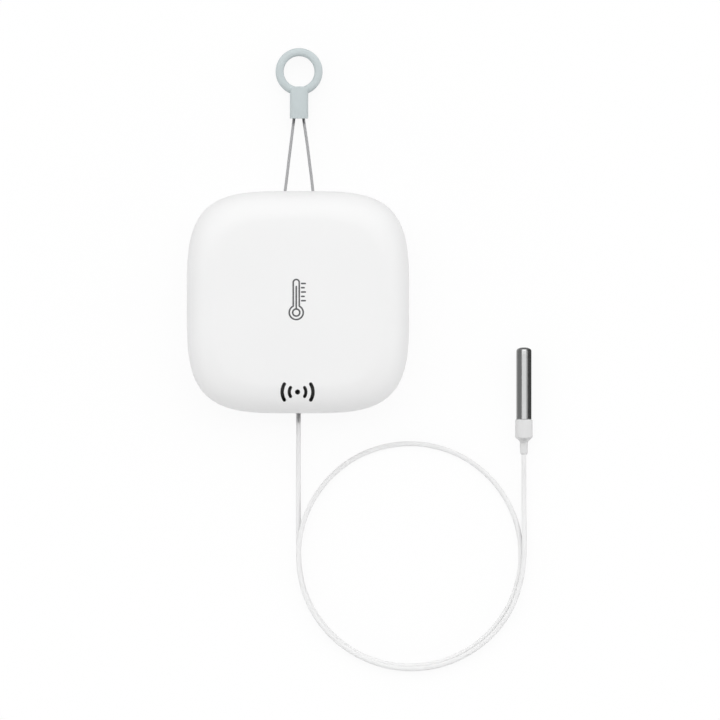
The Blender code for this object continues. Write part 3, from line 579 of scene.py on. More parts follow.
def smooth_points(route: Sequence[Point], count: int, start_y: float) -> np.ndarray:
    """Points at equal spacing along a natural cubic spline through a route.

    Args:
        route: points in millimetres, with Y from start_y.
        count: how many points are wanted.
        start_y: where the route's Y starts, in metres.

    Returns:
        The points in metres, one row each.
    """
    knots = np.array(route, float) * MM + np.array((0.0, start_y, 0.0))
    steps = np.linalg.norm(np.diff(knots, axis=0), axis=1)
    at = np.concatenate([[0.0], np.cumsum(steps)])
    size = len(knots)
    system = np.eye(size)
    right = np.zeros((size, 3))
    right[1:-1] = 6 * np.diff(np.diff(knots, axis=0) / steps[:, None], axis=0)
    for i in range(1, size - 1):
        before, after = steps[i - 1], steps[i]
        system[i, i - 1 : i + 2] = (before, 2 * (before + after), after)
    bend = np.linalg.solve(system, right)
    wanted = np.linspace(0, at[-1], 20 * count)
    i = np.clip(np.searchsorted(at, wanted) - 1, 0, size - 2)
    step = steps[i, None]
    left, ahead = at[i + 1, None] - wanted[:, None], wanted[:, None] - at[i, None]
    fine = (knots[i] * left + knots[i + 1] * ahead) / step
    fine += bend[i] * (left**3 / step - step * left) / 6
    fine += bend[i + 1] * (ahead**3 / step - step * ahead) / 6
    travelled = np.concatenate([[0.0], np.cumsum(np.linalg.norm(np.diff(fine, axis=0), axis=1))])
    wanted = np.linspace(0, travelled[-1], count)
    return np.stack([np.interp(wanted, travelled, fine[:, k]) for k in range(3)], axis=1)


def round_curve(name: str, points: np.ndarray, diameter: float, resolution: int) -> Piece:
    """Curve with a round section and closed ends.

    Args:
        name: the object's name.
        points: its line, one row for each point.
        diameter: thickness of the section.
        resolution: fineness of the section.

    Returns:
        The object.
    """
    curve = bpy.data.curves.new(name, "CURVE")
    curve.dimensions = "3D"
    curve.bevel_depth = diameter / 2
    curve.bevel_resolution = resolution
    curve.use_fill_caps = True
    spline = curve.splines.new("POLY")
    spline.points.add(len(points) - 1)
    for target, point in zip(spline.points, points):
        target.co = (*point, 1.0)
    spline.use_smooth = True
    return add_object(name, curve)


# Sub-assemblies


@dataclass
class Cords:
    """The lead and the wire loop, whose routes are those of the solids."""

    half_width: float = 30.0 * MM
    lead_diameter: float = 1.3 * MM
    lead_points: int = 640
    lead_fineness: int = 14
    wire_diameter: float = 0.78 * MM
    wire_points: int = 220
    wire_fineness: int = 10
    lead_route: Sequence[Point] = (
        (0.15, 0.6, 4.20), (0.15, 0.0, 4.20), (0.15, -3.5, 4.02), (0.14, -8.0, 3.20),
        (0.13, -13.0, 2.00), (0.12, -18.0, 1.10), (0.12, -23.0, 0.72), (0.13, -28.0, 0.66),
        (0.14, -33.0, 0.66), (0.20, -38.2, 0.66), (1.22, -46.0, 0.66), (4.22, -53.2, 0.66),
        (15.20, -64.2, 0.66), (30.20, -68.2, 0.66), (45.20, -64.2, 0.66), (56.18, -53.2, 0.66),
        (60.20, -38.2, 0.66), (56.18, -23.2, 0.66), (45.20, -12.2, 0.67), (30.20, -8.2, 0.69),
        (15.20, -12.2, 0.76), (8.99, -17.0, 1.04), (4.22, -23.2, 1.58), (1.22, -30.4, 2.05),
        (0.15, -38.4, 2.16), (1.12, -46.4, 2.16), (4.16, -53.8, 2.12), (15.32, -64.9, 2.05),
        (30.56, -69.0, 1.94), (45.80, -64.9, 1.84), (56.96, -53.8, 1.82), (61.04, -38.5, 1.86),
        (61.08, -33.0, 1.50), (61.04, -27.5, 0.95), (61.00, -22.0, 0.86), (61.00, -17.5, 1.45),
        (61.00, -14.2, 2.14), (61.00, -11.5, 2.34), (61.00, -10.8, 2.34),
    )
    wire_route: Sequence[Point] = (
        (-0.80, 22.2, 2.42), (-1.10, 19.5, 2.50), (-1.62, 15.2, 2.95), (-2.14, 11.0, 3.58),
        (-2.62, 7.0, 4.05), (-3.10, 3.0, 4.38), (-3.56, -0.7, 4.50), (-3.92, -4.0, 4.50),
        (-4.05, -6.7, 4.50), (-2.80, -9.8, 4.50), (0.27, -11.0, 4.50), (3.34, -9.8, 4.50),
        (4.57, -6.7, 4.50), (4.45, -4.0, 4.50), (4.10, -0.7, 4.50), (3.70, 3.0, 4.38),
        (3.20, 7.0, 4.05), (2.70, 11.0, 3.58), (2.12, 15.2, 2.95), (1.50, 19.5, 2.50),
        (1.20, 22.2, 2.42),
    )

    def build(self) -> None:
        """Make both cords, each from where it leaves the object to where it goes back into it."""
        self.lead()
        self.wire()

    def lead(self) -> None:
        """White round lead, one and a half turns on the surface, from the grommet to the boot."""
        points = smooth_points(self.lead_route, self.lead_points, -self.half_width)
        piece = round_curve("lead_cable", points, self.lead_diameter, self.lead_fineness)
        dress(piece, LEAD, ("lead",))

    def wire(self) -> None:
        """Thin coated wire from the ring's sleeve, round the post inside the housing and back."""
        points = smooth_points(self.wire_route, self.wire_points, self.half_width)
        piece = round_curve("lanyard_loop", points, self.wire_diameter, self.wire_fineness)
        dress(piece, WIRE, ("lanyard",))


@dataclass
class Housing:
    """Rounded-square housing in two halves, with its vent slots, screws and printed sign."""

    half_width: float = 30.0 * MM
    power: float = 3.8
    segments: int = 256
    wall: float = 2.2 * MM
    widest_height: float = 9.0 * MM
    roll_width: float = 8.0 * MM
    roll_height: float = 10.8 * MM
    crown: float = 1.2 * MM
    rear_tuck: float = 5.0 * MM
    tuck_steps: int = 16
    parting_height: float = 6.5 * MM
    face_shares: Sequence[float] = (0.12, 0.3, 0.5, 0.7, 0.86)
    skirt_shares: Sequence[float] = (0.75, 0.5, 0.25)
    roll_steps: int = 28
    inner_roll_end: float = 12.0
    inner_roll_steps: int = 12
    rim_edge: float = 0.12 * MM
    rim_step: float = 0.02 * MM
    tongue_width: float = 1.1 * MM
    lip_top: float = 7.85 * MM
    seal_top: float = 9.45 * MM
    rear_floor: float = 2.0 * MM
    cavity_half: float = 27.0 * MM
    front_height: float = 21.0 * MM
    board_front: float = 15.2 * MM
    screw_offset: float = 17.5 * MM
    pillar_height: float = 6.8 * MM
    pillar_radius: float = 3.1 * MM
    boss_radius: float = 2.5 * MM
    boss_ledge_radius: float = 3.6 * MM
    boss_root: float = 0.5 * MM
    shaft_hole_radius: float = 1.3 * MM
    head_radius: float = 1.8 * MM
    head_depth: float = 0.4 * MM
    head_dome: Sequence[Point] = (
        (0.0, -0.05 * MM), (0.9 * MM, 0.0), (1.2 * MM, 0.03 * MM), (1.8 * MM, 0.15 * MM),
    )
    head_top: float = 1.6 * MM
    screw_radius: float = 1.0 * MM
    screw_length: float = 11.0 * MM
    screw_sides: int = 40
    screw_tip_radius: float = 0.3 * MM
    pitch: float = 0.6 * MM
    thread_root: float = 0.8
    recess_levels: Sequence[Point] = ((-0.1, 1.2, 0.3), (1.1, 0.55, 0.18))
    vent_x: float = -0.12 * MM
    vent_y: float = -24.25 * MM
    vent_bottom: float = 13.2 * MM
    vent_sharp: float = 24.0
    vent_dot_radius: float = 0.69 * MM
    vent_arcs: Sequence[Point] = ((2.24 * MM, 0.88 * MM, 32.0), (4.16 * MM, 0.96 * MM, 31.0))
    arc_steps: int = 12
    wire_holes_x: float = 3.8 * MM
    wire_hole_radius: float = 0.85 * MM
    wire_height: float = 4.5 * MM
    post_y: float = 23.3 * MM
    post_radius: float = 3.3 * MM
    grommet_bore: float = 0.66 * MM
    grommet_mouth: float = 0.3 * MM
    grommet_radius: float = 1.35 * MM
    grommet_flange_radius: float = 2.1 * MM
    grommet_flange: float = 1.0 * MM
    lead_x: float = 0.15 * MM
    lead_height: float = 4.2 * MM

    def build(self) -> None:
        """Make the housing's pieces."""
        self.front()
        self.rear()
        self.grommet()
        self.screws()
        Sign(self).build()

    def outline(self, half: float, height: float) -> list[Vector]:
        """Ring of the rounded square at a height, by its half size, or 0 for its centre point."""
        spots = circle(1.0, self.segments if half else 1)
        return lifted([spot * half / self.size_of(spot.x, spot.y) for spot in spots], height)

    def size_of(self, x: float, y: float) -> float:
        """Half size of the rounded square through a point of the plan."""
        return (abs(x) ** self.power + abs(y) ** self.power) ** (1 / self.power)

    def tuck_half(self, height: float) -> float:
        """Half size of the outside below its widest height."""
        below = (self.widest_height - height) / self.widest_height
        return self.half_width - self.rear_tuck * (1 - math.sqrt(max(0.0, 1 - below**2)))

    def height_at(self, half: float, inset: float = 0.0) -> float:
        """Height of the front at a half size.

        Args:
            half: half size of the rounded square through the place.
            inset: how far inside the outer surface.

        Returns:
            The height.
        """
        face = self.half_width - self.roll_width
        beyond = min(max(half - face, 0.0) / (self.roll_width - inset), 1.0)
        crown = self.crown * (1 - (half / (self.half_width - inset)) ** 2)
        return self.widest_height + (self.roll_height - inset) * math.sqrt(1 - beyond**2) + crown

    def height_over(self, x: float, y: float, inset: float = 0.0) -> float:
        """Height of the front over a point of the plan."""
        return self.height_at(self.size_of(x, y), inset)

    def roll(self, inset: float, end_degrees: float, steps: int) -> Pairs:
        """Section of the rolled edge from the face down to the side.

        Args:
            inset: how far inside the outer surface.
            end_degrees: angle where it ends, 0 for the widest place.
            steps: its pieces.

        Returns:
            (half size, height) pairs.
        """
        angles = [math.radians(angle) for angle in spread(90.0, end_degrees, steps)]
        face = self.half_width - self.roll_width
        halves = [face + (self.roll_width - inset) * math.cos(angle) for angle in angles]
        return [(half, self.height_at(half, inset)) for half in halves]

    def screw_places(self) -> Pairs:
        """Centres of the four screws in the plan."""
        return [(x * self.screw_offset, y * self.screw_offset) for y in (1, -1) for x in (-1, 1)]

    def front(self) -> None:
        """Front half with its rolled edge, crowned face, bosses and vent slots."""
        rim = self.parting_height + GAP / 2
        rim_half = self.tuck_half(self.parting_height)
        face = self.half_width - self.roll_width
        section = [(0.0, self.front_height)]
        section += [(face * share, self.height_at(face * share)) for share in self.face_shares]
        section += self.roll(0.0, 0.0, self.roll_steps)
        levels = [rim + (self.widest_height - rim) * share for share in self.skirt_shares]
        section += [(self.tuck_half(level), level) for level in levels]
        section += [
            (rim_half + self.rim_step, rim + self.rim_edge), (rim_half - self.rim_edge, rim),
            (rim_half - self.tongue_width, rim), (rim_half - self.tongue_width, self.seal_top + GAP),
            (rim_half - self.wall, self.seal_top + GAP),
        ]
        section += self.roll(self.wall, self.inner_roll_end, self.inner_roll_steps)[::-1]
        section += [(0.0, self.height_at(0.0, self.wall))]
        shell = add_mesh("front_housing", loft([self.outline(*pair) for pair in section]))
        root = self.height_over(self.screw_offset, self.screw_offset, self.wall) + self.boss_root
        ledge = self.board_front + GAP
        screw_tip = self.head_top + self.screw_length
        for x, y in self.screw_places():
            boss = turned([
                (0, root), (self.boss_ledge_radius, root), (self.boss_ledge_radius, ledge),
                (self.boss_radius, ledge), (self.boss_radius, self.pillar_height + GAP),
                (0, self.pillar_height + GAP),
            ])
            combine(shell, moved(boss, (x, y, 0)), "UNION")
            pilot = rod(self.shaft_hole_radius, self.pillar_height, screw_tip + GAP)
            combine(shell, moved(pilot, (x, y, 0)), "DIFFERENCE")
        for cutter in self.vent_cutters():
            cutter = moved(cutter, (self.vent_x, self.vent_y, 0))
            combine(shell, cutter, "DIFFERENCE", self.vent_sharp)
        dress(shell, SHELL, ("front_shell",))

    def vent_cutters(self) -> list[Shape]:
        """Cutters for the dot and the two pairs of arc slots.

        Returns:
            Closed meshes round the dot, which reach through the front.
        """
        low, high = self.vent_bottom, self.front_height + self.wall
        cutters = [rod(self.vent_dot_radius, low, high)]
        for arc in self.vent_arcs:
            for side in (-1, 1):
                edge = [Vector((side * point.x, point.y)) for point in self.arc_edge(*arc)]
                cutters.append(loft([lifted(edge, low), lifted(edge, high)]))
        return cutters

    def arc_edge(self, radius: float, width: float, half_degrees: float) -> list[Vector]:
        """Edge of an arc slot with round ends.

        Args:
            radius: the arc's middle radius.
            width: the slot's width.
            half_degrees: half of the arc's angle.

        Returns:
            The edge's points in the plan, around the dot.
        """
        end = math.radians(half_degrees)
        turns = spread(-end, end, 2 * self.arc_steps)
        caps = spread(0.0, math.pi, self.arc_steps)[1:-1]
        edge = [polar(radius + width / 2, angle) for angle in turns]
        edge += [polar(radius, end) + polar(width / 2, end + cap) for cap in caps]
        edge += [polar(radius - width / 2, angle) for angle in turns[::-1]]
        edge += [polar(radius, -end) + polar(width / 2, math.pi - end + cap) for cap in caps]
        return edge

    def rear(self) -> None:
        """Rear half with its tucked-in side, sealing lip, screw pillars and wire post."""
        rim = self.parting_height - GAP / 2
        rim_half = self.tuck_half(self.parting_height)
        lip_half = rim_half - self.tongue_width - GAP
        section = [(0.0, 0.0), (0.5 * self.tuck_half(0.0), 0.0)]
        levels = [rim * share**2 for share in spread(0.0, 1.0, self.tuck_steps)[:-1]]
        section += [(self.tuck_half(level), level) for level in levels]
        section += [
            (rim_half - self.rim_step, rim - self.rim_edge), (rim_half - self.rim_edge, rim),
            (lip_half, rim), (lip_half, self.lip_top), (self.cavity_half, self.lip_top),
            (self.cavity_half, self.rear_floor), (0.0, self.rear_floor),
        ]
        cover = add_mesh("rear_housing", loft([self.outline(*pair) for pair in section]))
        for x, y in self.screw_places():
            pillar = rod(self.pillar_radius, self.rear_floor / 2, self.pillar_height)
            combine(cover, moved(pillar, (x, y, 0)), "UNION")
            head = self.head_radius + GAP
            recess = turned([
                (0, -GAP), (head, -GAP), (head, self.head_top + GAP),
                (self.shaft_hole_radius, self.head_top + GAP),
                (self.shaft_hole_radius, self.pillar_height + GAP), (0, self.pillar_height + GAP),
            ])
            combine(cover, moved(recess, (x, y, 0)), "DIFFERENCE")
        post = rod(self.post_radius, self.rear_floor / 2, self.pillar_height)
        combine(cover, moved(post, (0, self.post_y, 0)), "UNION")
        inner, outer = self.half_width - 2 * self.wall, self.half_width + self.wall
        for side in (-1, 1):
            hole = rod(self.wire_hole_radius, inner, outer)
            spot = (side * self.wire_holes_x, 0, self.wire_height)
            combine(cover, moved(hole, spot, Turn.ALONG_Y), "DIFFERENCE")
        hole = rod(self.grommet_radius + GAP, -outer, -inner)
        spot = (self.lead_x, 0, self.lead_height)
        combine(cover, moved(hole, spot, Turn.ALONG_Y), "DIFFERENCE")
        dress(cover, COVER, ("rear_cover",))

    def grommet(self) -> None:
        """Grommet round the lead in the bottom wall, with its edges rounded."""
        outer = GAP - self.half_width
        flange = GAP - self.cavity_half
        inner = flange + self.grommet_flange
        bore = self.grommet_bore
        profile = rounded([
            (bore, outer + self.grommet_mouth), (bore, outer), (self.grommet_radius, outer),
            (self.grommet_radius, flange), (self.grommet_flange_radius, flange),
            (self.grommet_flange_radius, inner), (bore, inner),
        ], {1: 0.15 * MM, 2: 0.3 * MM, 4: 0.1 * MM, 5: 0.2 * MM})
        place = (self.lead_x, 0, self.lead_height)
        shape = moved(turned(profile, SMALL_ROUND, closed=True), place, Turn.ALONG_Y)
        dress(add_mesh("lead_bushing", shape), BOOT, ("lead_grommet",))

    def screws(self) -> None:
        """Four cross-head screws with domed heads, sunk in the rear face."""
        tip = self.head_top + self.screw_length
        profile = [(radius, self.head_depth + rise) for radius, rise in self.head_dome]
        profile += [(self.head_radius, self.head_top), (self.screw_radius, self.head_top)]
        profile = rounded(profile, {3: 0.25 * MM, 4: 0.1 * MM})
        height = self.head_top + self.pitch
        while height < tip - 2 * self.pitch:
            profile.append((self.screw_radius * self.thread_root, height))
            profile.append((self.screw_radius, height + self.pitch / 2))
            height += self.pitch
        profile += [(self.screw_tip_radius, tip), (0.0, tip)]
        for number, (x, y) in enumerate(self.screw_places(), 1):
            shape = moved(turned(profile, self.screw_sides), (x, y, 0))
            screw = add_mesh(f"cover_screw_fine_{number}", shape)
            combine(screw, moved(self.cross_recess(), (x, y, 0)), "DIFFERENCE")
            dress(screw, SCREW, (f"cover_screw_{number}",))

    def cross_recess(self) -> Shape:
        """Cutter for a cross recess that narrows to its bottom.

        Returns:
            The closed mesh, with its wide end below the head's face.
        """
        rings = []
        for height, arm, side in self.recess_levels:
            upper = [(arm, side), (side, side), (side, arm), (-side, arm), (-side, side), (-arm, side)]
            edge = upper + [(-x, -y) for x, y in upper]
            rings.append([Vector((x, y, height)) * MM for x, y in edge])
        return loft(rings)


@dataclass
class Sign:
    """Thermometer sign printed on the front, in strokes of ink that follow its crown."""

    housing: Housing
    stroke: float = 0.43 * MM
    film: float = 0.015 * MM
    depth: float = 0.05 * MM
    middle_x: float = -0.475 * MM
    tube_half: float = 0.81 * MM
    tube_top: float = 6.13 * MM
    bulb_y: float = -2.795 * MM
    bulb_radius: float = 1.89 * MM
    core_radius: float = 0.96 * MM
    column_top: float = 4.24 * MM
    ticks_start: float = 0.98 * MM
    long_tick_end: float = 1.95 * MM
    short_tick_end: float = 1.65 * MM
    long_ticks: Sequence[float] = (5.05 * MM, 2.754 * MM, 0.405 * MM)
    short_ticks: Sequence[float] = (3.915 * MM, 1.566 * MM)
    tip_share: float = 0.05
    bulb_steps: int = 72
    top_steps: int = 24
    side_steps: int = 8
    line_steps: int = 12

    def build(self) -> None:
        """Print the tube, its core, its column and its ticks."""
        centre = Vector((self.middle_x, self.bulb_y))
        self.ribbon("sign_tube", self.tube_path(), True)
        self.ribbon("sign_core", [centre + spot for spot in circle(self.core_radius, PLAIN_ROUND)], True)
        column = [Vector((self.middle_x, self.column_top)), centre + Vector((0, self.core_radius))]
        self.ribbon("sign_column", self.with_round_ends(column), False)
        ticks = [(y, self.long_tick_end) for y in self.long_ticks]
        ticks += [(y, self.short_tick_end) for y in self.short_ticks]
        for number, (y, end) in enumerate(sorted(ticks, reverse=True), 1):
            line = [Vector((self.ticks_start, y)), Vector((end, y))]
            self.ribbon(f"sign_tick_{number}", self.with_round_ends(line), False)

    def tube_path(self) -> list[Vector]:
        """Middle line round the bulb and over the top of the tube, as one loop.

        Returns:
            Points of the plan.
        """
        opening = math.asin(self.tube_half / self.bulb_radius)
        centre = Vector((self.middle_x, self.bulb_y))
        start, end = math.pi / 2 + opening, 2.5 * math.pi - opening
        path = [centre + polar(self.bulb_radius, turn) for turn in spread(start, end, self.bulb_steps)]
        top = Vector((self.middle_x, self.tube_top - self.tube_half))
        side = path[-1].y
        rises = spread(0.0, top.y - side, self.side_steps)[1:-1]
        path += [Vector((top.x + self.tube_half, side + rise)) for rise in rises]
        path += [top + polar(self.tube_half, turn) for turn in spread(0.0, math.pi, self.top_steps)]
        path += [Vector((top.x - self.tube_half, top.y - rise)) for rise in rises]
        return path

    def with_round_ends(self, line: Sequence[Vector]) -> list[tuple[Vector, float]]:
        """Line of two points with widths that round its ends.

        Args:
            line: its two ends.

        Returns:
            (point, half width) pairs along the line.
        """
        start, end = line
        along = (end - start).normalized()
        half = self.stroke / 2
        spots = [polar(half, turn) for turn in spread(0.0, math.pi / 2, self.side_steps)]
        cap = [(along * spot.x, max(spot.y, half * self.tip_share)) for spot in spots]
        points = [(start - reach, width) for reach, width in cap]
        shares = spread(0.0, 1.0, self.line_steps)[1:-1]
        points += [(start.lerp(end, share), half) for share in shares]
        return points + [(end + reach, width) for reach, width in reversed(cap)]

    def over(self, spot: Vector, lift: float) -> Vector:
        """Point over a spot of the plan, lifted off the front."""
        return Vector((spot.x, spot.y, self.housing.height_over(spot.x, spot.y) + lift))

    def ribbon(self, name: str, path: Sequence, closed: bool) -> None:
        """Print a flat stroke of ink along a path of the plan.

        Args:
            name: the piece's name.
            path: points, or (point, half width) pairs.
            closed: true where the path is a loop.
        """
        pairs = [item if isinstance(item, tuple) else (item, self.stroke / 2) for item in path]
        count = len(pairs)
        rings = []
        for i, (point, half) in enumerate(pairs):
            before = pairs[i - 1][0] if closed or i else point
            after = pairs[(i + 1) % count][0] if closed or i < count - 1 else point
            along = (after - before).normalized()
            across = Vector((-along.y, along.x)) * half
            edges = (point + across, point - across)
            ring = [self.over(edge, self.film) for edge in edges]
            rings.append(ring + [self.over(edge, -self.depth) for edge in reversed(edges)])
        dress(add_mesh(name, loft(rings, closed)), INK)


@dataclass
class Hanger:
    """Silicone ring and its sleeve, moulded as one, lying on the sleeve."""

    x: float = 0.29 * MM
    ring_y: float = 62.26 * MM
    ring_radius: float = 5.25 * MM
    ring_sides: int = 128
    section_radius: float = 1.1 * MM
    section_sides: int = 32
    sleeve_bottom: float = 49.58 * MM
    sleeve_top: float = 58.27 * MM
    sleeve_radius: float = 2.48 * MM
    bore_radius: float = 1.95 * MM
    bore_depth: float = 3.1 * MM

    def build(self) -> None:
        """Make the sleeve with its mouth and join the ring to it."""
        floor = self.sleeve_bottom + self.bore_depth
        profile = rounded([
            (0, floor), (self.bore_radius, floor),
            (self.bore_radius, self.sleeve_bottom), (self.sleeve_radius, self.sleeve_bottom),
            (self.sleeve_radius, self.sleeve_top), (0, self.sleeve_top),
        ], {1: 0.3 * MM, 2: 0.12 * MM, 3: 0.22 * MM, 4: 0.4 * MM})
        sleeve = moved(turned(profile, FINE_ROUND), (self.x, 0, self.sleeve_radius), Turn.ALONG_Y)
        piece = add_mesh("hanging_ring", sleeve)
        spots = circle(self.section_radius, self.section_sides)
        section = [(self.ring_radius + spot.x, spot.y) for spot in spots]
        ring = turned(section, self.ring_sides, closed=True)
        combine(piece, moved(ring, (self.x, self.ring_y, self.sleeve_radius)), "UNION")
        dress(piece, RING, ("hang_ring",))


@dataclass
class Probe:
    """Steel probe with the moulded boot that grips the lead."""

    x: float = 61.0 * MM
    height: float = 2.34 * MM
    tail_y: float = -41.2 * MM
    mouth_radius: float = 0.74 * MM
    tail_chamfer: float = 0.5 * MM
    tail_radius: float = 1.02 * MM
    relief_length: float = 3.9 * MM
    relief_radius: float = 1.1 * MM
    flare_length: float = 0.4 * MM
    shoulder_radius: float = 1.42 * MM
    shoulder_length: float = 0.8 * MM
    collar_radius: float = 2.34 * MM
    top_y: float = -31.7 * MM
    bore: float = 1.75 * MM
    bore_depth: float = 4.3 * MM
    cable_bore: float = 0.66 * MM
    cable_depth: float = 1.0 * MM
    sheath_radius: float = 2.03 * MM
    sheath_wall: float = 0.35 * MM
    sheath_tip: float = -12.15 * MM
    dome_length: float = 1.1 * MM
    dome_power: float = 2.15
    dome_steps: int = 16
    seat_gap: float = 0.01 * MM
    neck_radius: float = 1.6 * MM
    neck_length: float = 4.0 * MM

    def build(self) -> None:
        """Make the boot and the sheath."""
        self.boot()
        self.sheath()

    def stand(self, profile: Pairs) -> Shape:
        """Profile of (radius, Y) pairs turned about the probe's own axis."""
        return moved(turned(profile, FINE_ROUND), (self.x, 0, self.height), Turn.ALONG_Y)

    def boot(self) -> None:
        """Boot with a slim relief round the lead, a flared shoulder and a collar round the sheath."""
        relief_top = self.tail_y + self.relief_length
        floor = self.top_y - self.bore_depth
        socket_y = self.tail_y + self.cable_depth
        profile = rounded([
            (0, socket_y), (self.cable_bore, socket_y), (self.cable_bore, self.tail_y),
            (self.mouth_radius, self.tail_y), (self.tail_radius, self.tail_y + self.tail_chamfer),
            (self.relief_radius, relief_top - self.flare_length), (self.shoulder_radius, relief_top),
            (self.collar_radius, relief_top + self.shoulder_length),
            (self.collar_radius, self.top_y), (self.bore, self.top_y), (self.bore, floor), (0, floor),
        ], {
            3: 0.03 * MM, 4: 0.15 * MM, 5: 0.5 * MM, 6: 0.3 * MM, 7: 0.25 * MM, 8: 0.2 * MM,
            9: 0.06 * MM,
        })
        dress(add_mesh("boot", self.stand(profile)), BOOT, ("probe_boot",))

    def sheath(self) -> None:
        """Closed stainless tube with a rounded tip, its neck in the boot."""
        shoulder = self.top_y + self.seat_gap
        inner = self.sheath_radius - self.sheath_wall
        neck_inner = self.neck_radius - self.sheath_wall
        neck_end = self.top_y - self.neck_length
        blunt = 2 / self.dome_power
        profile = [(0.0, self.sheath_tip)]
        for turn in spread(math.pi / 2, 0.0, self.dome_steps)[1:]:
            drop = self.dome_length * (1 - math.sin(turn) ** blunt)
            profile.append((self.sheath_radius * math.cos(turn) ** blunt, self.sheath_tip - drop))
        profile += rounded([
            (self.sheath_radius, shoulder + self.sheath_wall), (self.sheath_radius, shoulder),
            (self.neck_radius, shoulder), (self.neck_radius, neck_end), (neck_inner, neck_end),
            (neck_inner, shoulder + self.sheath_wall), (inner, shoulder + 2 * self.sheath_wall),
            (inner, self.sheath_tip - self.dome_length), (inner / 2, self.sheath_tip - self.sheath_wall),
            (0, self.sheath_tip - self.sheath_wall),
        ], {1: 0.03 * MM})
        dress(add_mesh("sheath", self.stand(profile)), SHEATH, ("probe_sheath",))


class Inside:
    """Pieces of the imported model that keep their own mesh."""

    def build(self) -> None:
        """Give each of them its finish."""
        for finish, names in KEPT_NODES.items():
            for name in names:
                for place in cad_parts[name].material_slots:
                    place.material = finish.make()
                LOG.info("%s: %s", name, finish.name)


@dataclass
class Studio:
    """Camera straight above, a white floor and soft light from above and the top edge's side."""

    view_width: float = 0.1944
    view_x: float = 16.74 * MM
    view_y: float = -15.61 * MM
    view_height: float = 0.6
    floor_half: float = 6.0
    floor_z: float = -0.05 * MM
    floor_white: float = 0.9
    floor_colour: float = 0.98
    floor_bounce: float = 0.36
    band_edge: Point = (0.35, 0.6)
    back_edge: Point = (-0.15, 0.25)
    back_light: float = 1.77
    back_fall: float = 0.37
    front_light: float = 0.25
    band_light: float = 1.38
    band_tilt: float = -0.36
    band_sides: float = 0.15

    def camera(self) -> None:
        """Put the camera straight above, with the top edge of the picture toward +Y."""
        data = bpy.data.cameras.new("camera")
        data.type = "ORTHO"
        data.ortho_scale = self.view_width
        camera = add_object("camera", data)
        camera.location = (self.view_x, self.view_y, self.view_height)
        bpy.context.scene.camera = camera

    def light(self) -> None:
        """Make the sky of the studio.

        It is bright above and toward the top edge and dim above the bottom edge. A band near
        the horizon, brightest below the bottom edge, keeps the sides of the object light.
        """
        world = bpy.data.worlds.new("studio")
        world.use_nodes = True
        bpy.context.scene.world = world
        graph = Graph(world.node_tree)
        x, y, z = [graph.direction(letter) for letter in "XYZ"]
        high = z.between(*self.band_edge)
        back = y.between(*self.back_edge)
        upper = back * (self.back_light - self.front_light - y * self.back_fall) + self.front_light
        band = x * x * self.band_sides + y * self.band_tilt + self.band_light
        light = high * upper + (1.0 - high) * band
        shader = graph.add("ShaderNodeBackground", {}, {"Color": grey(1.0), "Strength": light})
        graph.add("ShaderNodeOutputWorld", {}, {"Surface": shader})

    def floor(self) -> None:
        """Wide white floor that keeps a faint shadow."""
        mesh = bpy.data.meshes.new("floor")
        half = self.floor_half
        edge = [(-half, -half), (half, -half), (half, half), (-half, half)]
        mesh.from_pydata([(x, y, self.floor_z) for x, y in edge], [], [(0, 1, 2, 3)])
        made, graph = new_material("floor_white")
        seen = graph.add("ShaderNodeLightPath", {}, {}, "Is Camera Ray")
        seen = seen + graph.add("ShaderNodeLightPath", {}, {}, "Is Glossy Ray")
        seen = seen + graph.add("ShaderNodeLightPath", {}, {}, "Is Transmission Ray")
        shown = graph.mix(self.floor_white, graph.diffuse(self.floor_colour), graph.emission(1.0))
        mixed = graph.mix(seen, graph.diffuse(self.floor_bounce), shown)
        graph.add("ShaderNodeOutputMaterial", {}, {"Surface": mixed})
        mesh.materials.append(made)
        add_object("floor", mesh)


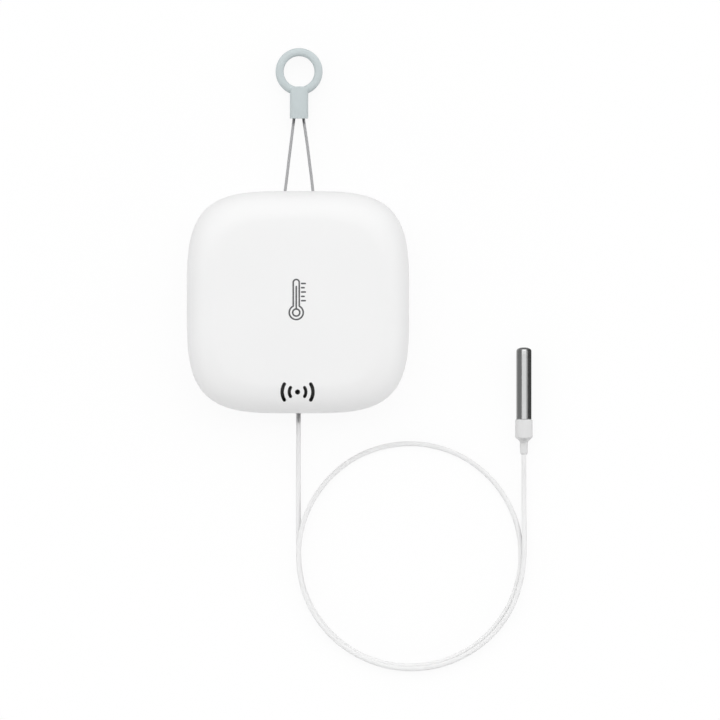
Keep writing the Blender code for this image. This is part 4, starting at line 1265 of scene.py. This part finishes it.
@dataclass
class Cards:
    """Cards close round the steel probe, which show in its reflection alone, and three small flags.

    The cards make a tunnel: white above the probe, grey on its left, dark on its right and
    dark beyond its tip. The flags shade the starts of the lead and of the wires, and the
    boot's shoulder.
    """

    x: float = 61.0 * MM
    height: float = 2.34 * MM
    start_y: float = -31.75 * MM
    strip_end_y: float = -13.65 * MM
    end_y: float = -10.35 * MM
    panels: Sequence[tuple[str, float, Sequence[Point]]] = (
        ("card_strip", 1.04, ((-1.35, 3.2), (1.65, 3.2))),
        ("card_left_high", 0.22, ((-3.35, 0.6), (-3.0, 2.0), (-1.35, 3.2))),
        ("card_left_low", 0.42, ((-2.15, -2.3), (-3.3, -1.5), (-3.35, 0.6))),
        ("card_right_high", 0.45, ((1.65, 3.2), (2.6, 2.65))),
        ("card_right", 0.055, ((2.6, 2.65), (3.4, 0.0), (3.2, -1.8))),
        ("card_right_low", 0.25, ((3.2, -1.8), (2.15, -2.3))),
    )
    tip_level: float = 0.16
    tip_top: float = 1.9
    tip_half: float = 3.4
    flag_level: float = 0.02
    flags: Sequence[tuple[str, Point, Point]] = (
        ("flag_lead", (-1.3, -32.3, 5.7), (1.6, -29.9, 5.2)),
        ("flag_wires", (-1.9, 48.4, 3.6), (2.5, 49.7, 3.6)),
        ("flag_boot", (59.2, -37.45, 4.4), (62.8, -36.95, 4.4)),
    )

    def build(self) -> None:
        """Stand the cards and the flags."""
        for name, level, section in self.panels:
            end_y = self.strip_end_y if name == "card_strip" else self.end_y
            ends = (self.start_y, end_y)
            self.card(name, [self.spot(*corner, y) for corner in section for y in ends], level)
        ups = (-self.height / MM, self.tip_top)
        sides = (-self.tip_half, self.tip_half)
        spots = [self.spot(across, up, self.end_y) for up in ups for across in sides]
        self.card("card_tip", spots, self.tip_level)
        for name, (x, y, z), (far_x, far_y, far_z) in self.flags:
            corners = ((x, y, z), (x, far_y, far_z), (far_x, y, z), (far_x, far_y, far_z))
            self.card(name, [Vector(corner) * MM for corner in corners])

    def spot(self, across: float, up: float, y: float) -> Point:
        """Point beside the probe, by two distances from its axis in millimetres and its Y."""
        return (self.x + across * MM, y, self.height + up * MM)

    def card(self, name: str, spots: Sequence[Point], level: Optional[float] = None) -> None:
        """One card, which glossy rays alone meet, or one flag, which they don't.

        Args:
            name: its name.
            spots: pairs of points along its two long edges.
            level: how light the card is, or None for a flag.
        """
        made, graph = new_material(name)
        if level is None:
            shader = graph.diffuse(self.flag_level)
            hidden = ("camera", "glossy", "transmission")
        else:
            shader = graph.emission(level)
            hidden = ("camera", "diffuse", "transmission", "shadow")
        graph.add("ShaderNodeOutputMaterial", {}, {"Surface": shader})
        mesh = bpy.data.meshes.new(name)
        faces = [(2 * i, 2 * i + 1, 2 * i + 3, 2 * i + 2) for i in range(len(spots) // 2 - 1)]
        mesh.from_pydata(spots, [], faces)
        mesh.materials.append(made)
        piece = add_object(name, mesh)
        for kind in hidden:
            setattr(piece, f"visible_{kind}", False)


def main() -> None:
    """Build the camera and the cords, then the other pieces, then the studio."""
    logging.basicConfig(level=logging.INFO, format="%(name)s: %(message)s")
    bpy.context.scene.view_settings.view_transform = "Standard"
    studio = Studio()
    studio.camera()
    Cords().build()
    for part in (Housing(), Hanger(), Probe(), Inside()):
        part.build()
    studio.light()
    studio.floor()
    Cards().build()


if __name__ == "__main__":
    main()
